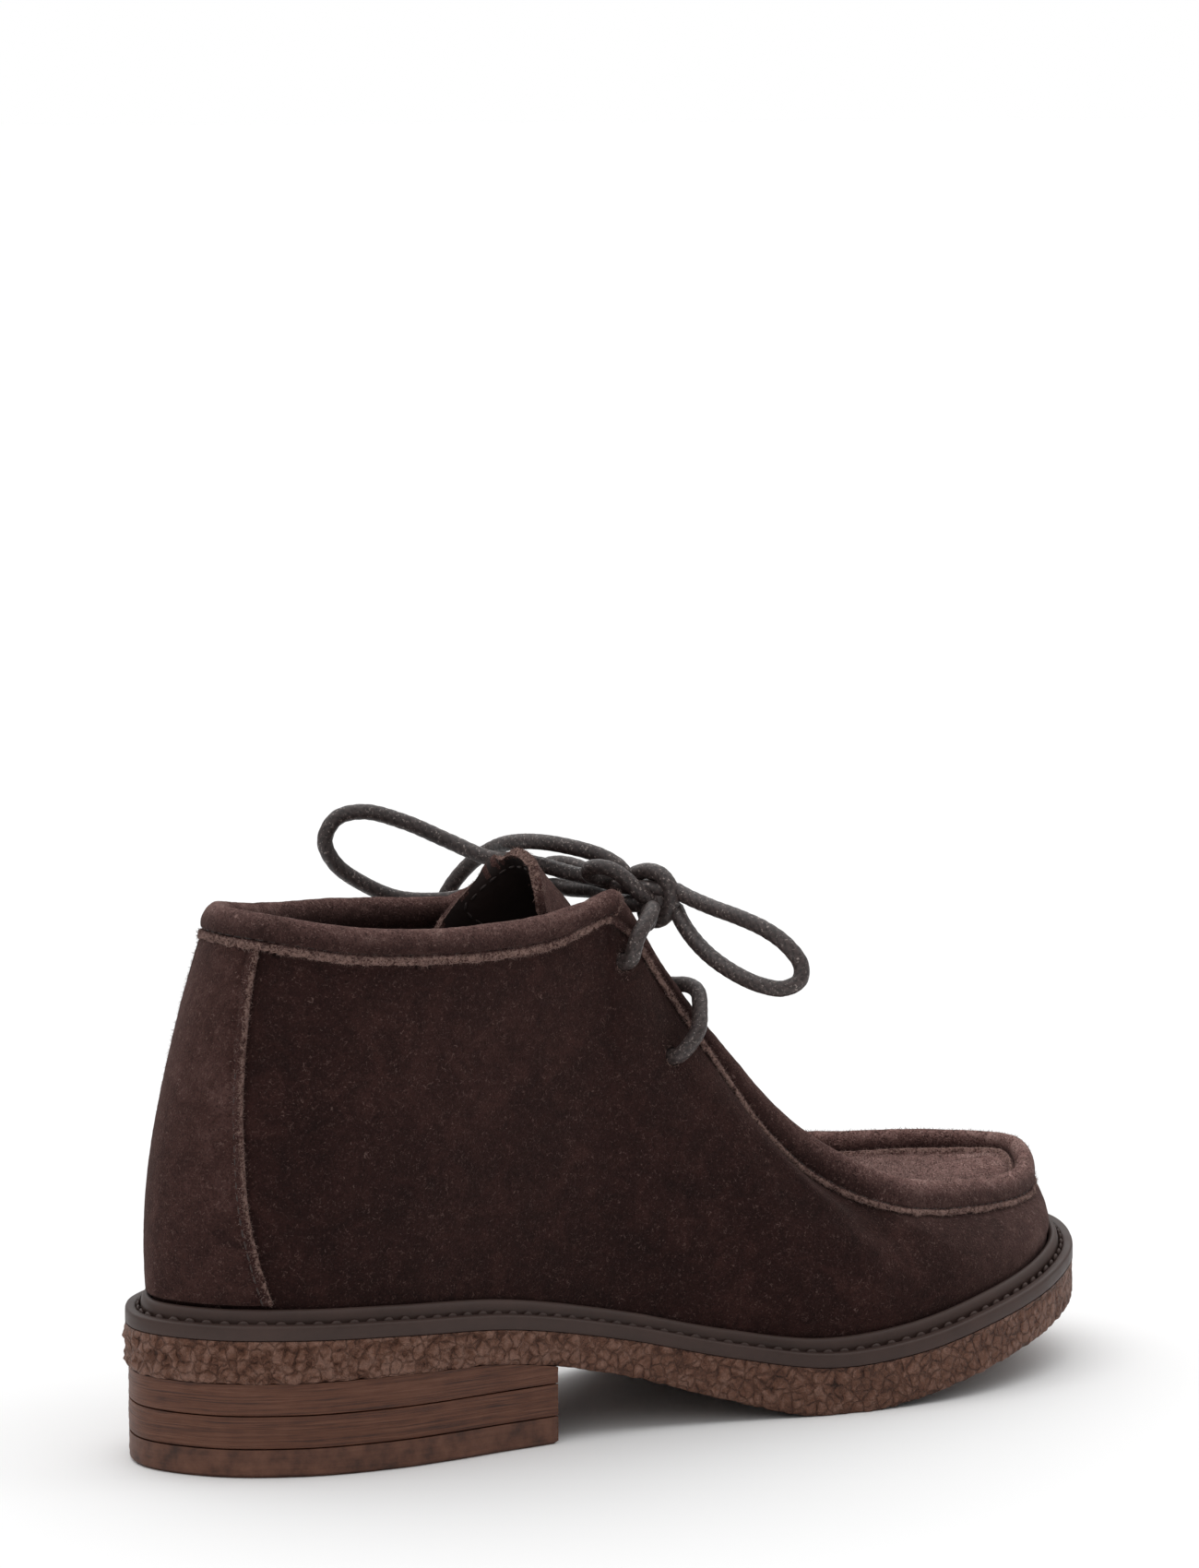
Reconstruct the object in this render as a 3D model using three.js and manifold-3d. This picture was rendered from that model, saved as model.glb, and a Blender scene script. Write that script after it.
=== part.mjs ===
// Moc-toe ankle boot for a right foot, in millimetres: suede upper with a rolled apron seam,
// rubber welt, crepe sole and a stacked heel. +X runs from heel to toe, +Y to the inner side, +Z up.
import * as THREE from 'three';
import { mergeVertices } from 'three/addons/utils/BufferGeometryUtils.js';
import Module from 'manifold-3d';

const wasm = await Module();
wasm.setup();

// Driving sizes
const soleLength = 262;
const ballWidth = 94.5;
const shaftHeight = 95; // heel seat to the crest of the collar
const wall = 2.2; // suede with its lining
const fitGap = 0.3; // between pieces that touch

// Sole
const heelStack = 21.3; // floor to the underside of the crepe
const heelLength = 91;
const heelInset = 0.6; // heel side behind the crepe's side
const liftJoints = [6.4, 13.9]; // heights of the two joints in the heel stack
const crepeThickness = 9.9; // at the heel
const crepeEdge = 0.9; // rounding of the crepe's lower edge
const liftEdge = 0.8; // rounding of the top lift's lower edge
const weltWidth = 6;
const weltThickness = 3.2;
const beadWidth = 2.5; // roll of the welt against the upper
const beadHeight = 2.9;
const grooveWidth = 0.9; // channel of the welt stitching
const grooveDepth = 0.8;
const insoleThickness = 3.5;

// Upper
const rollHeight = 8.7; // rolled seam round the apron and padded collar
const rollThickness = 5.6;
const rollStand = 1.5; // how far the roll stands out over the wall
const lapStep = 1.1; // raw edge of the rolled strip, standing over the wall
const eyeletRadius = 2.6;
const panelThickness = 1; // back panel lapped over the wall
const panelGap = 0.55;

// Tongue
const tongueThickness = 2.4;
const tongueReach = 27; // from the upper eyelets to its tip
const tongueRoom = 6; // under the edges of the throat, where the lace passes
const tongueFall = 3; // how much lower the tip is on its inner side

// Lace
const laceRadius = 1.9;
const laceRoom = 0.35; // between the lace and what it passes

// Stations round the outline, counted in rows: 0 at the heel, 12 at the toe, back up the inner side
const stepsPerRow = 3;
const wallSteps = 7;
const wallRows = wallSteps + 2; // points of a station on the inside, the foot among them
const apronSteps = 3;
const apronReach = 0.9; // how far the apron's middle line follows its edges towards the toe

// along: share of soleLength; outer, inner: half widths as shares of ballWidth;
// lift: underside of the crepe as a share of heelStack;
// gauge: its thickness as a share of crepeThickness
const soleRows = [
  { along: 0.0, outer: 0.0, inner: 0.0, lift: 1.0, gauge: 1.0 },
  { along: 0.03, outer: 0.19, inner: 0.19, lift: 1.0, gauge: 1.0 },
  { along: 0.1, outer: 0.323, inner: 0.317, lift: 1.0, gauge: 0.98 },
  { along: 0.19, outer: 0.374, inner: 0.357, lift: 1.0, gauge: 0.9 },
  { along: 0.3, outer: 0.368, inner: 0.328, lift: 0.94, gauge: 0.81 },
  { along: 0.42, outer: 0.366, inner: 0.291, lift: 0.63, gauge: 0.85 },
  { along: 0.52, outer: 0.413, inner: 0.325, lift: 0.24, gauge: 1.02 },
  { along: 0.61, outer: 0.485, inner: 0.41, lift: -0.03, gauge: 1.2 },
  { along: 0.7, outer: 0.517, inner: 0.47, lift: 0.08, gauge: 1.1 },
  { along: 0.79, outer: 0.497, inner: 0.482, lift: 0.3, gauge: 1.06 },
  { along: 0.88, outer: 0.402, inner: 0.438, lift: 0.52, gauge: 1.0 },
  { along: 0.955, outer: 0.225, inner: 0.31, lift: 0.7, gauge: 0.97 },
  { along: 1.0, outer: -0.074, inner: 0.074, lift: 0.77, gauge: 0.96 },
];

// Crest of the collar, throat and apron roll. along, outer and inner as above;
// outerRise, innerRise: height over the crepe's top as shares of shaftHeight
const crestRows = [
  { along: 0.09, outer: 0.0, inner: 0.0, outerRise: 0.998, innerRise: 0.998 },
  { along: 0.107, outer: 0.146, inner: 0.132, outerRise: 0.992, innerRise: 0.992 },
  { along: 0.166, outer: 0.243, inner: 0.229, outerRise: 0.965, innerRise: 0.965 },
  { along: 0.252, outer: 0.28, inner: 0.28, outerRise: 0.958, innerRise: 0.958 },
  { along: 0.351, outer: 0.265, inner: 0.265, outerRise: 0.984, innerRise: 0.984 },
  { along: 0.444, outer: 0.215, inner: 0.215, outerRise: 1.08, innerRise: 1.08 },
  { along: 0.498, outer: 0.19, inner: 0.19, outerRise: 0.947, innerRise: 0.947 },
  { along: 0.552, outer: 0.2, inner: 0.2, outerRise: 0.807, innerRise: 0.807 },
  { along: 0.629, outer: 0.265, inner: 0.265, outerRise: 0.556, innerRise: 0.557 },
  { along: 0.71, outer: 0.344, inner: 0.35, outerRise: 0.377, innerRise: 0.39 },
  { along: 0.822, outer: 0.296, inner: 0.35, outerRise: 0.284, innerRise: 0.309 },
  { along: 0.919, outer: 0.143, inner: 0.262, outerRise: 0.232, innerRise: 0.263 },
  { along: 0.962, outer: -0.053, inner: 0.053, outerRise: 0.25, innerRise: 0.25 },
];

// The wall and its roll at the same rows. low, high: fullness of the wall as shares of ballWidth;
// roll: share of rollHeight; crown: height of the apron's middle over the crest as a share of rollHeight
const formRows = [
  { low: 0.028, high: 0.036, roll: 1.0, crown: 0 },
  { low: 0.028, high: 0.036, roll: 1.0, crown: 0 },
  { low: 0.032, high: 0.04, roll: 1.0, crown: 0 },
  { low: 0.024, high: 0.03, roll: 1.0, crown: 0 },
  { low: 0.021, high: 0.021, roll: 1.0, crown: 0 },
  { low: 0.021, high: 0.021, roll: 0.95, crown: 0 },
  { low: 0.026, high: 0.032, roll: 0.45, crown: 0 },
  { low: 0.032, high: 0.042, roll: 0.62, crown: 0 },
  { low: 0.042, high: 0.053, roll: 1.0, crown: -0.25 },
  { low: 0.032, high: 0.042, roll: 1.0, crown: -0.15 },
  { low: 0.021, high: 0.032, roll: 0.93, crown: -0.35 },
  { low: 0.016, high: 0.021, roll: 0.85, crown: -0.5 },
  { low: 0.016, high: 0.021, roll: 0.7, crown: -0.5 },
];

// Back panel. share: place on the wall from the welt to the collar's seam;
// reach: its front edge, in rows from the heel
const panelRows = [
  { share: 0.01, reach: 1.67 },
  { share: 0.07, reach: 1.6 },
  { share: 0.143, reach: 1.51 },
  { share: 0.286, reach: 1.34 },
  { share: 0.429, reach: 1.21 },
  { share: 0.571, reach: 1.085 },
  { share: 0.714, reach: 0.99 },
  { share: 0.857, reach: 0.91 },
  { share: 0.975, reach: 0.88 },
];

// Tongue. row: place along the throat; reach: share of tongueReach beyond its top; half: half width;
// wrap, innerWrap: how far the outer and the inner side fall back, like half as shares of ballWidth;
// tuck: share of tongueRoom
const tongueRows = [
  { row: 8.5, reach: 0, half: 0.15, wrap: 0.03, innerWrap: 0.03, tuck: 1.25 },
  { row: 8.2, reach: 0, half: 0.155, wrap: 0.035, innerWrap: 0.04, tuck: 1.2 },
  { row: 7.9, reach: 0, half: 0.155, wrap: 0.045, innerWrap: 0.05, tuck: 1.1 },
  { row: 7.4, reach: 0, half: 0.15, wrap: 0.065, innerWrap: 0.065, tuck: 1 },
  { row: 6.8, reach: 0, half: 0.15, wrap: 0.08, innerWrap: 0.09, tuck: 1 },
  { row: 6.2, reach: 0, half: 0.165, wrap: 0.095, innerWrap: 0.14, tuck: 1 },
  { row: 5.6, reach: 0, half: 0.18, wrap: 0.115, innerWrap: 0.2, tuck: 1 },
  { row: 5.6, reach: 0.25, half: 0.18, wrap: 0.13, innerWrap: 0.23, tuck: 0.95 },
  { row: 5.6, reach: 0.47, half: 0.178, wrap: 0.14, innerWrap: 0.26, tuck: 1.03 },
  { row: 5.6, reach: 0.7, half: 0.175, wrap: 0.12, innerWrap: 0.27, tuck: 1.3 },
  { row: 5.6, reach: 0.8, half: 0.17, wrap: 0.1, innerWrap: 0.24, tuck: 1.42 },
  { row: 5.6, reach: 0.87, half: 0.16, wrap: 0.08, innerWrap: 0.185, tuck: 1.48 },
  { row: 5.6, reach: 0.95, half: 0.13, wrap: 0.05, innerWrap: 0.08, tuck: 1.55 },
  { row: 5.6, reach: 1, half: 0.085, wrap: 0.02, innerWrap: 0.015, tuck: 1.6 },
];

// Eyelets, by row and share of the wall, the upper one first
const eyeletPlaces = [{ row: 5.3, share: 0.906 }, { row: 5.9, share: 0.746 }];

const wallBase = 2 * fitGap + weltThickness + beadHeight; // height at which the wall leaves the welt
const lastRow = soleRows.length - 1;
const throatRow = 8;
const loopRows = 2 * lastRow;
const stationCount = loopRows * stepsPerRow;

const up = new THREE.Vector3(0, 0, 1);

// A closed curve through one value per row, outer side from heel to toe and inner side back
function loopThrough(rows, pointOf) {
  const points = [];
  for (let row = 0; row < loopRows; row++) {
    const inner = row > lastRow;
    points.push(pointOf(rows[inner ? loopRows - row : row], inner ? 'inner' : 'outer', inner ? 1 : -1));
  }
  const curve = new THREE.CatmullRomCurve3(points, true, 'centripetal');
  return (row) => curve.getPoint((((row / loopRows) % 1) + 1) % 1);
}

const outlineAt = loopThrough(soleRows, (r, side, sign) =>
  new THREE.Vector3(r.along * soleLength, sign * r[side] * ballWidth, 0));
const crestPlanAt = loopThrough(crestRows, (r, side, sign) =>
  new THREE.Vector3(r.along * soleLength, sign * r[side] * ballWidth, r[`${side}Rise`] * shaftHeight));
const soleForm = new THREE.CubicInterpolant(
  soleRows.map((r) => r.along * soleLength),
  soleRows.flatMap((r) => [r.lift * heelStack, r.gauge * crepeThickness]),
  2,
);
const wallFormAt = loopThrough(formRows, (r) => new THREE.Vector3(r.low, r.high, r.roll));
const crownAt = loopThrough(formRows, (r) => new THREE.Vector3(r.crown, 0, 0));

function tangentOf(curveAt, row) {
  const step = 0.02;
  return curveAt(row + step).sub(curveAt(row - step)).normalize();
}

// Point of the sole's outline, taken in by an inset
function planPoint(row, inset) {
  const out = tangentOf(outlineAt, row).cross(up);
  return outlineAt(row).addScaledVector(out, -inset);
}

// Heights of the crepe, by the distance from the heel
const crepeUnderside = (x) => Math.max(soleForm.evaluate(x)[0], 0);
const crepeTop = (x) => soleForm.evaluate(x)[0] + soleForm.evaluate(x)[1];

// Mesh under construction: points by index and faces that look outwards
class Skin {
  constructor() {
    this.points = [];
    this.faces = [];
  }
  add(point) {
    this.points.push(point.x, point.y, point.z);
    return this.points.length / 3 - 1;
  }
  triangle(a, b, c) {
    if (a !== b && b !== c && c !== a) this.faces.push(a, b, c);
  }
  // Between two lines of points that run the same way, the second one above the first seen from outside
  strip(lower, upper) {
    for (let i = 0; i + 1 < lower.length; i++) {
      this.triangle(lower[i], lower[i + 1], upper[i + 1]);
      this.triangle(lower[i], upper[i + 1], upper[i]);
    }
  }
  geometry() {
    const geometry = new THREE.BufferGeometry();
    geometry.setAttribute('position', new THREE.Float32BufferAttribute(this.points, 3));
    geometry.setIndex(this.faces);
    geometry.computeVertexNormals();
    return geometry;
  }
}

function solidOf(geometry) {
  const bare = geometry.clone();
  bare.deleteAttribute('normal');
  bare.deleteAttribute('uv');
  const merged = mergeVertices(bare, 1e-4);
  return new wasm.Manifold(new wasm.Mesh({
    numProp: 3,
    vertProperties: new Float32Array(merged.attributes.position.array),
    triVerts: new Uint32Array(merged.index.array),
  }));
}

function geometryOf(solid) {
  const mesh = solid.getMesh();
  const geometry = new THREE.BufferGeometry();
  geometry.setAttribute('position', new THREE.Float32BufferAttribute(mesh.vertProperties, 3));
  geometry.setIndex(Array.from(mesh.triVerts));
  geometry.computeVertexNormals();
  return geometry;
}

function crestAt(row) {
  const crest = crestPlanAt(row);
  crest.z += crepeTop(outlineAt(row).x);
  return crest;
}

// Local frame on the crest: down the wall, and out of it
function crestFrame(row) {
  const foot = planPoint(row, weltWidth);
  foot.z = crepeTop(foot.x);
  const crest = crestAt(row);
  const along = tangentOf(crestAt, row);
  const down = foot.clone().sub(crest);
  down.addScaledVector(along, -down.dot(along)).normalize();
  const out = down.clone().cross(along).normalize();
  return { foot, crest, down, out };
}

const handle = 0.3; // length of the wall curve's handles as a share of its span

// Outer face of the wall from the top of the welt to the seam under the rolled edge, a Bezier curve
function wallCurve(row) {
  const { foot, crest, down, out } = crestFrame(row);
  const form = wallFormAt(row);
  const start = planPoint(row, weltWidth + fitGap).setZ(foot.z + wallBase);
  const seam = crest.clone().addScaledVector(down, form.z * rollHeight);
  const span = start.distanceTo(seam);
  const towards = start.clone().sub(seam).normalize();
  const footOut = tangentOf(outlineAt, row).cross(up);
  const lower = start.clone().addScaledVector(up, span * handle).addScaledVector(footOut, form.x * ballWidth);
  const upper = seam.clone().addScaledVector(towards, span * handle).addScaledVector(out, form.y * ballWidth);
  return new THREE.CubicBezierCurve3(start, lower, upper, seam);
}

// Point on the wall, moved out by an offset
function wallPoint(row, share, offset) {
  const point = wallCurve(row).getPoint(share);
  return offset === 0 ? point : point.addScaledVector(wallNormal(row, share), offset);
}

function wallNormal(row, share) {
  const near = 0.05;
  const along = wallCurve(row + near).getPoint(share).sub(wallCurve(row - near).getPoint(share));
  return along.cross(wallCurve(row).getTangent(share)).normalize();
}

// Section of the roll: turns in degrees from its top towards the outside, and the turn that it ends at
const rollTurns = [135, 100, 65, 30, -10, -50];
const closedTurn = -115; // where the apron starts
const openTurn = -125; // inside the collar and throat
const rollSlimming = 0.4; // part of the roll's thickness that stays where its height goes down to nothing

// One station of the upper: points from the foot up the outside and over the roll, and up the inside
function upperColumn(skin, row) {
  const { foot, crest, down, out } = crestFrame(row);
  const roll = wallFormAt(row).z;
  const closed = Math.abs(lastRow - row) <= lastRow - throatRow;
  const footHeight = foot.z + fitGap;
  const outer = [skin.add(planPoint(row, weltWidth + fitGap).setZ(footHeight))];
  const inner = [skin.add(planPoint(row, weltWidth + fitGap + wall).setZ(footHeight))];
  for (let j = 0; j <= wallSteps; j++) {
    outer.push(skin.add(wallPoint(row, j / wallSteps, 0)));
    inner.push(skin.add(wallPoint(row, j / wallSteps, -wall)));
  }
  const halfHeight = roll * rollHeight / 2;
  const halfThickness = rollThickness / 2 * (rollSlimming + (1 - rollSlimming) * roll);
  const middle = crest.clone()
    .addScaledVector(down, halfHeight)
    .addScaledVector(out, rollStand - halfThickness);
  const around = (degrees) => {
    const angle = THREE.MathUtils.degToRad(degrees);
    return middle.clone()
      .addScaledVector(down, -Math.cos(angle) * halfHeight)
      .addScaledVector(out, Math.sin(angle) * halfThickness);
  };
  outer.push(skin.add(wallPoint(row, 1, 0).addScaledVector(out, lapStep)));
  const lastTurn = closed ? closedTurn : openTurn;
  for (const degrees of [...rollTurns, lastTurn]) outer.push(skin.add(around(degrees)));
  return { row, closed, outer, inner, rollFoot: around(lastTurn) };
}

function upperShell() {
  const skin = new Skin();
  const columns = [];
  for (let i = 0; i < stationCount; i++) columns.push(upperColumn(skin, i / stepsPerRow));
  const wrap = (i) => (i + stationCount) % stationCount;

  // Apron: from the foot of the roll to points on the middle line that both sides share
  const throatX = columns[throatRow * stepsPerRow].rollFoot.x;
  for (let i = throatRow * stepsPerRow; i <= stationCount / 2; i++) {
    const pair = [columns[i], columns[wrap(stationCount - i)]];
    const edge = pair[0].rollFoot.clone().add(pair[1].rollFoot).multiplyScalar(0.5);
    const crown = crownAt(columns[i].row).x * rollHeight;
    const crest = crestFrame(pair[0].row).crest.add(crestFrame(pair[1].row).crest).multiplyScalar(0.5);
    const middle = new THREE.Vector3(throatX + (edge.x - throatX) * apronReach, edge.y, crest.z + crown);
    const middleOut = skin.add(middle);
    const middleIn = skin.add(middle.clone().addScaledVector(up, -wall));
    for (const column of new Set(pair)) {
      column.inner.push(skin.add(column.rollFoot.clone().addScaledVector(up, -wall)));
      for (let k = 1; k < apronSteps; k++) {
        const share = k / apronSteps;
        const point = column.rollFoot.clone().lerp(middle, share);
        const dome = (middle.z - column.rollFoot.z) * (share * (2 - share) - share);
        point.z += dome;
        column.outer.push(skin.add(point));
        column.inner.push(skin.add(point.clone().addScaledVector(up, -wall)));
      }
      column.outer.push(middleOut);
      column.inner.push(middleIn);
    }
  }

  const rollEnd = columns[0].outer.length;
  for (let i = 0; i < stationCount; i++) {
    const here = columns[i];
    const next = columns[wrap(i + 1)];
    const closed = here.closed && next.closed;
    const outerTo = closed ? here.outer.length : rollEnd;
    const innerTo = closed ? here.inner.length : wallRows;
    skin.strip([here.outer[0], here.inner[0]], [next.outer[0], next.inner[0]]);
    skin.strip(next.outer.slice(0, outerTo), here.outer.slice(0, outerTo));
    skin.strip(here.inner.slice(0, innerTo), next.inner.slice(0, innerTo));
    if (!closed) {
      const rim = ({ outer, inner }) => [outer[rollEnd - 1], inner[wallRows - 1]];
      skin.strip(rim(next), rim(here));
    }
  }
  // Edge of the apron across the throat
  const throatStation = throatRow * stepsPerRow;
  for (const [station, flip] of [[throatStation, false], [stationCount - throatStation, true]]) {
    const column = columns[station];
    const top = column.outer.slice(rollEnd - 1);
    const below = column.inner.slice(wallRows);
    if (flip) skin.strip(below, top); else skin.strip(top, below);
    if (flip) skin.triangle(top[0], column.inner[wallRows - 1], below[0]);
    else skin.triangle(top[0], below[0], column.inner[wallRows - 1]);
  }
  return skin.geometry();
}

// A slab in pairs of stations, each level with its own inset and height;
// the ends close at the heel and toe or at a cut
function pairedSlab(levels, cutAlong = Infinity) {
  const skin = new Skin();
  const rings = levels.map(({ inset, height, cutInset = 0 }) => {
    const outer = [];
    const inner = [];
    const cut = cutAlong - cutInset;
    for (let i = 0; i <= stationCount / 2; i++) {
      const row = i / stepsPerRow;
      const last = planPoint(row, inset).x > cut;
      const at = last ? rowAlong(cut, inset) : row;
      const a = planPoint(at, inset);
      const b = planPoint(loopRows - at, inset);
      if (last) {
        a.x = cut;
        b.x = cut;
      }
      a.z = height(a.x);
      b.z = height(b.x);
      outer.push(skin.add(a));
      inner.push(i === 0 || i === stationCount / 2 ? outer[i] : skin.add(b));
      if (last) break;
    }
    return { outer, inner };
  });
  for (let k = 0; k + 1 < rings.length; k++) {
    skin.strip(rings[k].outer, rings[k + 1].outer);
    skin.strip(rings[k + 1].inner, rings[k].inner);
  }
  const bottom = rings[0];
  const top = rings[rings.length - 1];
  skin.strip(bottom.inner, bottom.outer);
  skin.strip(top.outer, top.inner);
  const end = bottom.outer.length - 1;
  if (bottom.outer[end] !== bottom.inner[end]) {
    skin.strip(rings.map((r) => r.inner[end]), rings.map((r) => r.outer[end]));
  }
  return skin.geometry();
}

// Row at which the inset outline reaches a distance from the heel, found by halving
function rowAlong(distance, inset) {
  let low = 0;
  let high = lastRow;
  for (let k = 0; k < 40; k++) {
    const middle = (low + high) / 2;
    if (planPoint(middle, inset).x < distance) low = middle; else high = middle;
  }
  return (low + high) / 2;
}

// Ring of the welt: a flat flange, the stitching groove and the bead against the upper
function weltRing() {
  const skin = new Skin();
  const beadFoot = weltWidth - beadWidth;
  const profile = [
    [0, 0], [0, weltThickness * 0.75], [0.5, weltThickness], [beadFoot - grooveWidth, weltThickness],
    [beadFoot - grooveWidth / 2, weltThickness - grooveDepth], [beadFoot, weltThickness],
    [beadFoot + beadWidth * 0.2, weltThickness + beadHeight * 0.6],
    [beadFoot + beadWidth * 0.6, weltThickness + beadHeight],
    [weltWidth, weltThickness + beadHeight * 0.75], [weltWidth, 0],
  ];
  const rings = [];
  for (let i = 0; i < stationCount; i++) {
    const row = i / stepsPerRow;
    rings.push(profile.map(([inset, height]) => {
      const point = planPoint(row, inset);
      point.z = crepeTop(point.x) + fitGap + height;
      return skin.add(point);
    }));
  }
  rings.forEach((ring, i) => {
    const next = rings[(i + 1) % stationCount];
    skin.strip([...next, next[0]], [...ring, ring[0]]);
  });
  return skin.geometry();
}

// Closed solid between two grids of points with the same rows and columns, the first one outside
function sheetSolid(outside, inside) {
  const skin = new Skin();
  const outer = outside.map((line) => line.map((p) => skin.add(p)));
  const inner = inside.map((line) => line.map((p) => skin.add(p)));
  const last = outer.length - 1;
  for (let k = 0; k < last; k++) {
    skin.strip(outer[k], outer[k + 1]);
    skin.strip(inner[k + 1], inner[k]);
  }
  skin.strip(inner[0], outer[0]);
  skin.strip(outer[last], inner[last]);
  const sideOf = (grid, at) => grid.map((line) => line.at(at));
  skin.strip(sideOf(outer, 0), sideOf(inner, 0));
  skin.strip(sideOf(inner, -1), sideOf(outer, -1));
  return skin.geometry();
}

function backPanel() {
  const columns = 12;
  const gridAt = (offset) => panelRows.map(({ share, reach }) => {
    const line = [];
    for (let i = 0; i <= columns; i++) {
      const row = (2 * i / columns - 1) * reach;
      line.push(wallPoint((row + loopRows) % loopRows, share, offset));
    }
    return line;
  });
  return sheetSolid(gridAt(panelGap + panelThickness), gridAt(panelGap));
}

// Point over the middle of the throat, at a row of the crest: sideways from the middle, in from the crest
// and beyond the row
function throatPoint(row, side, depth, reach = 0) {
  const middleOf = (r) => {
    const crest = crestFrame(r).crest;
    return new THREE.Vector3(crest.x, 0, crest.z);
  };
  const step = 0.1;
  const along = middleOf(row - step).sub(middleOf(row + step)).normalize();
  const inward = new THREE.Vector3(-along.z, 0, along.x);
  return middleOf(row).addScaledVector(along, reach).addScaledVector(inward, depth)
    .add(new THREE.Vector3(0, side, 0));
}

// A grid of points moved inwards along its own normals
function insideOf(grid, thickness) {
  const beside = (list, k) => [list[Math.max(k - 1, 0)], list[Math.min(k + 1, list.length - 1)]];
  return grid.map((line, k) => line.map((point, i) => {
    const [below, above] = beside(grid, k);
    const [left, right] = beside(line, i);
    const normal = right.clone().sub(left).cross(above[i].clone().sub(below[i])).normalize();
    return point.clone().addScaledVector(normal, -thickness);
  }));
}

function tongueSheet() {
  const columns = 14;
  const innerBend = 3; // the inner side stays flat and turns back sharply
  const face = tongueRows.map(({ row, reach, half, wrap, innerWrap, tuck }) => {
    const line = [];
    for (let i = 0; i <= columns; i++) {
      const t = 2 * i / columns - 1;
      const fallsBack = t > 0 ? innerWrap * t ** innerBend : wrap * t * t;
      const depth = tuck * tongueRoom + fallsBack * ballWidth;
      const beyond = reach * (tongueReach - tongueFall * Math.max(t, 0) ** 2);
      line.push(throatPoint(row, t * half * ballWidth, depth, beyond));
    }
    return line;
  });
  return sheetSolid(face, insideOf(face, tongueThickness));
}

// A round cord along a smooth line through points
function cord(points, step = 5) {
  const path = new THREE.CatmullRomCurve3(points, false, 'centripetal');
  const section = new THREE.Shape();
  const sides = 8;
  for (let i = 0; i < sides; i++) {
    const angle = (i + 0.5) / sides * 2 * Math.PI;
    const x = laceRadius * Math.cos(angle);
    const y = laceRadius * Math.sin(angle);
    if (i === 0) section.moveTo(x, y); else section.lineTo(x, y);
  }
  section.closePath();
  const steps = Math.ceil(path.getLength() / step);
  return new THREE.ExtrudeGeometry(section, { steps, extrudePath: path });
}

// Points of an eyelet on one side: the middle of the lace inside the wall and outside it
function eyelet({ row, share }, sign) {
  const at = sign < 0 ? row : loopRows - row;
  const clear = laceRadius + laceRoom;
  return {
    inside: wallPoint(at, share, -wall - clear),
    middle: wallPoint(at, share, -wall / 2),
    outside: wallPoint(at, share, clear),
    axis: wallNormal(at, share),
  };
}

// Half of the lacing: from the bar under the lower eyelets of one side, out, over the throat and out at the
// upper eyelet of the other side. Each place is a row along the throat, sideways and in from its crest.
const lacingRows = [
  { row: 6.62, side: -0.5, depth: 3.1 },
  { row: 6.62, side: 5.5, depth: 3.6 },
  { row: 6.64, side: 12, depth: 7 },
  { row: 6.67, side: 16.8, depth: 10.7 },
  'lower',
  { row: 6.6, side: 27.5, depth: 6.5 },
  { row: 6.52, side: 24.2, depth: 1.2 },
  { row: 6.45, side: 20.8, depth: -2.3 },
  { row: 6.4, side: 17.3, depth: -2.8 },
  { row: 6.33, side: 13, depth: -0.6 },
  { row: 6.25, side: 7, depth: 2.2 },
  { row: 6.12, side: 0, depth: 3.1 },
  { row: 5.98, side: -6.5, depth: 4.6 },
  { row: 5.82, side: -12, depth: 7.5 },
  { row: 5.68, side: -15.6, depth: 10.4 },
  'upper',
];

function lacingPath(sign, ending) {
  const points = [];
  for (const place of lacingRows) {
    if (place === 'lower') {
      const { inside, middle, outside } = eyelet(eyeletPlaces[1], sign);
      points.push(inside, middle, outside);
    } else if (place === 'upper') {
      const { inside, middle, outside } = eyelet(eyeletPlaces[0], -sign);
      points.push(inside, middle, outside);
    } else {
      points.push(throatPoint(place.row, sign * place.side, place.depth));
    }
  }
  return [...points, ...ending];
}

const pieces = new THREE.Group();
function piece(name, geometry, colour, roughness) {
  const material = new THREE.MeshStandardMaterial({ color: colour, roughness, metalness: 0 });
  const mesh = new THREE.Mesh(geometry, material);
  mesh.name = name;
  pieces.add(mesh);
}

const insoleInset = weltWidth + wall + 2 * fitGap;
const suede = 0x3b2723;
const liningBrown = 0x241b18;
const laceBrown = 0x2f2825;
const crepeBrown = 0x54392c;
const rubberBrown = 0x4c4240;

const at = (x, y, z) => new THREE.Vector3(x, y, z);

// Knot: wraps round a core, with the strands leaving both ends of the core
const knot = at(130.5, -13.5, 121);
const knotAxis = at(0.42, -0.9, 0).normalize();
const knotForward = at(0.9, 0.42, 0).normalize();
const knotPoint = (along, forward, rise) => knot.clone().addScaledVector(knotAxis, along)
  .addScaledVector(knotForward, forward).addScaledVector(up, rise);
const coreBack = -6;
const coreFront = 5;
const strand = 2.2; // half the distance between strands at an end of the core
const strandRoom = 1.7; // between an end of the core and the strands
const coreRadius = 3.6;
const wrapRadius = 4.6;
const wrapPlace = 2; // along the core
const knotBack = coreBack - strandRoom;
const knotFront = coreFront + strandRoom;

// From the upper eyelets to the knot
const outerLead = [
  throatPoint(5.45, -26, 6), throatPoint(5.4, -24.2, 0), throatPoint(5.42, -21.4, -3.2),
  knotPoint(3, -6.8, -5.4)];
const innerLead = [
  throatPoint(5.45, 26, 6), throatPoint(5.4, 24, 0.5), throatPoint(5.38, 20, -2.8),
  throatPoint(5.4, 13, -3.6), throatPoint(5.4, 3, -4.4), knotPoint(knotBack, -strand, -strand)];

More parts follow.
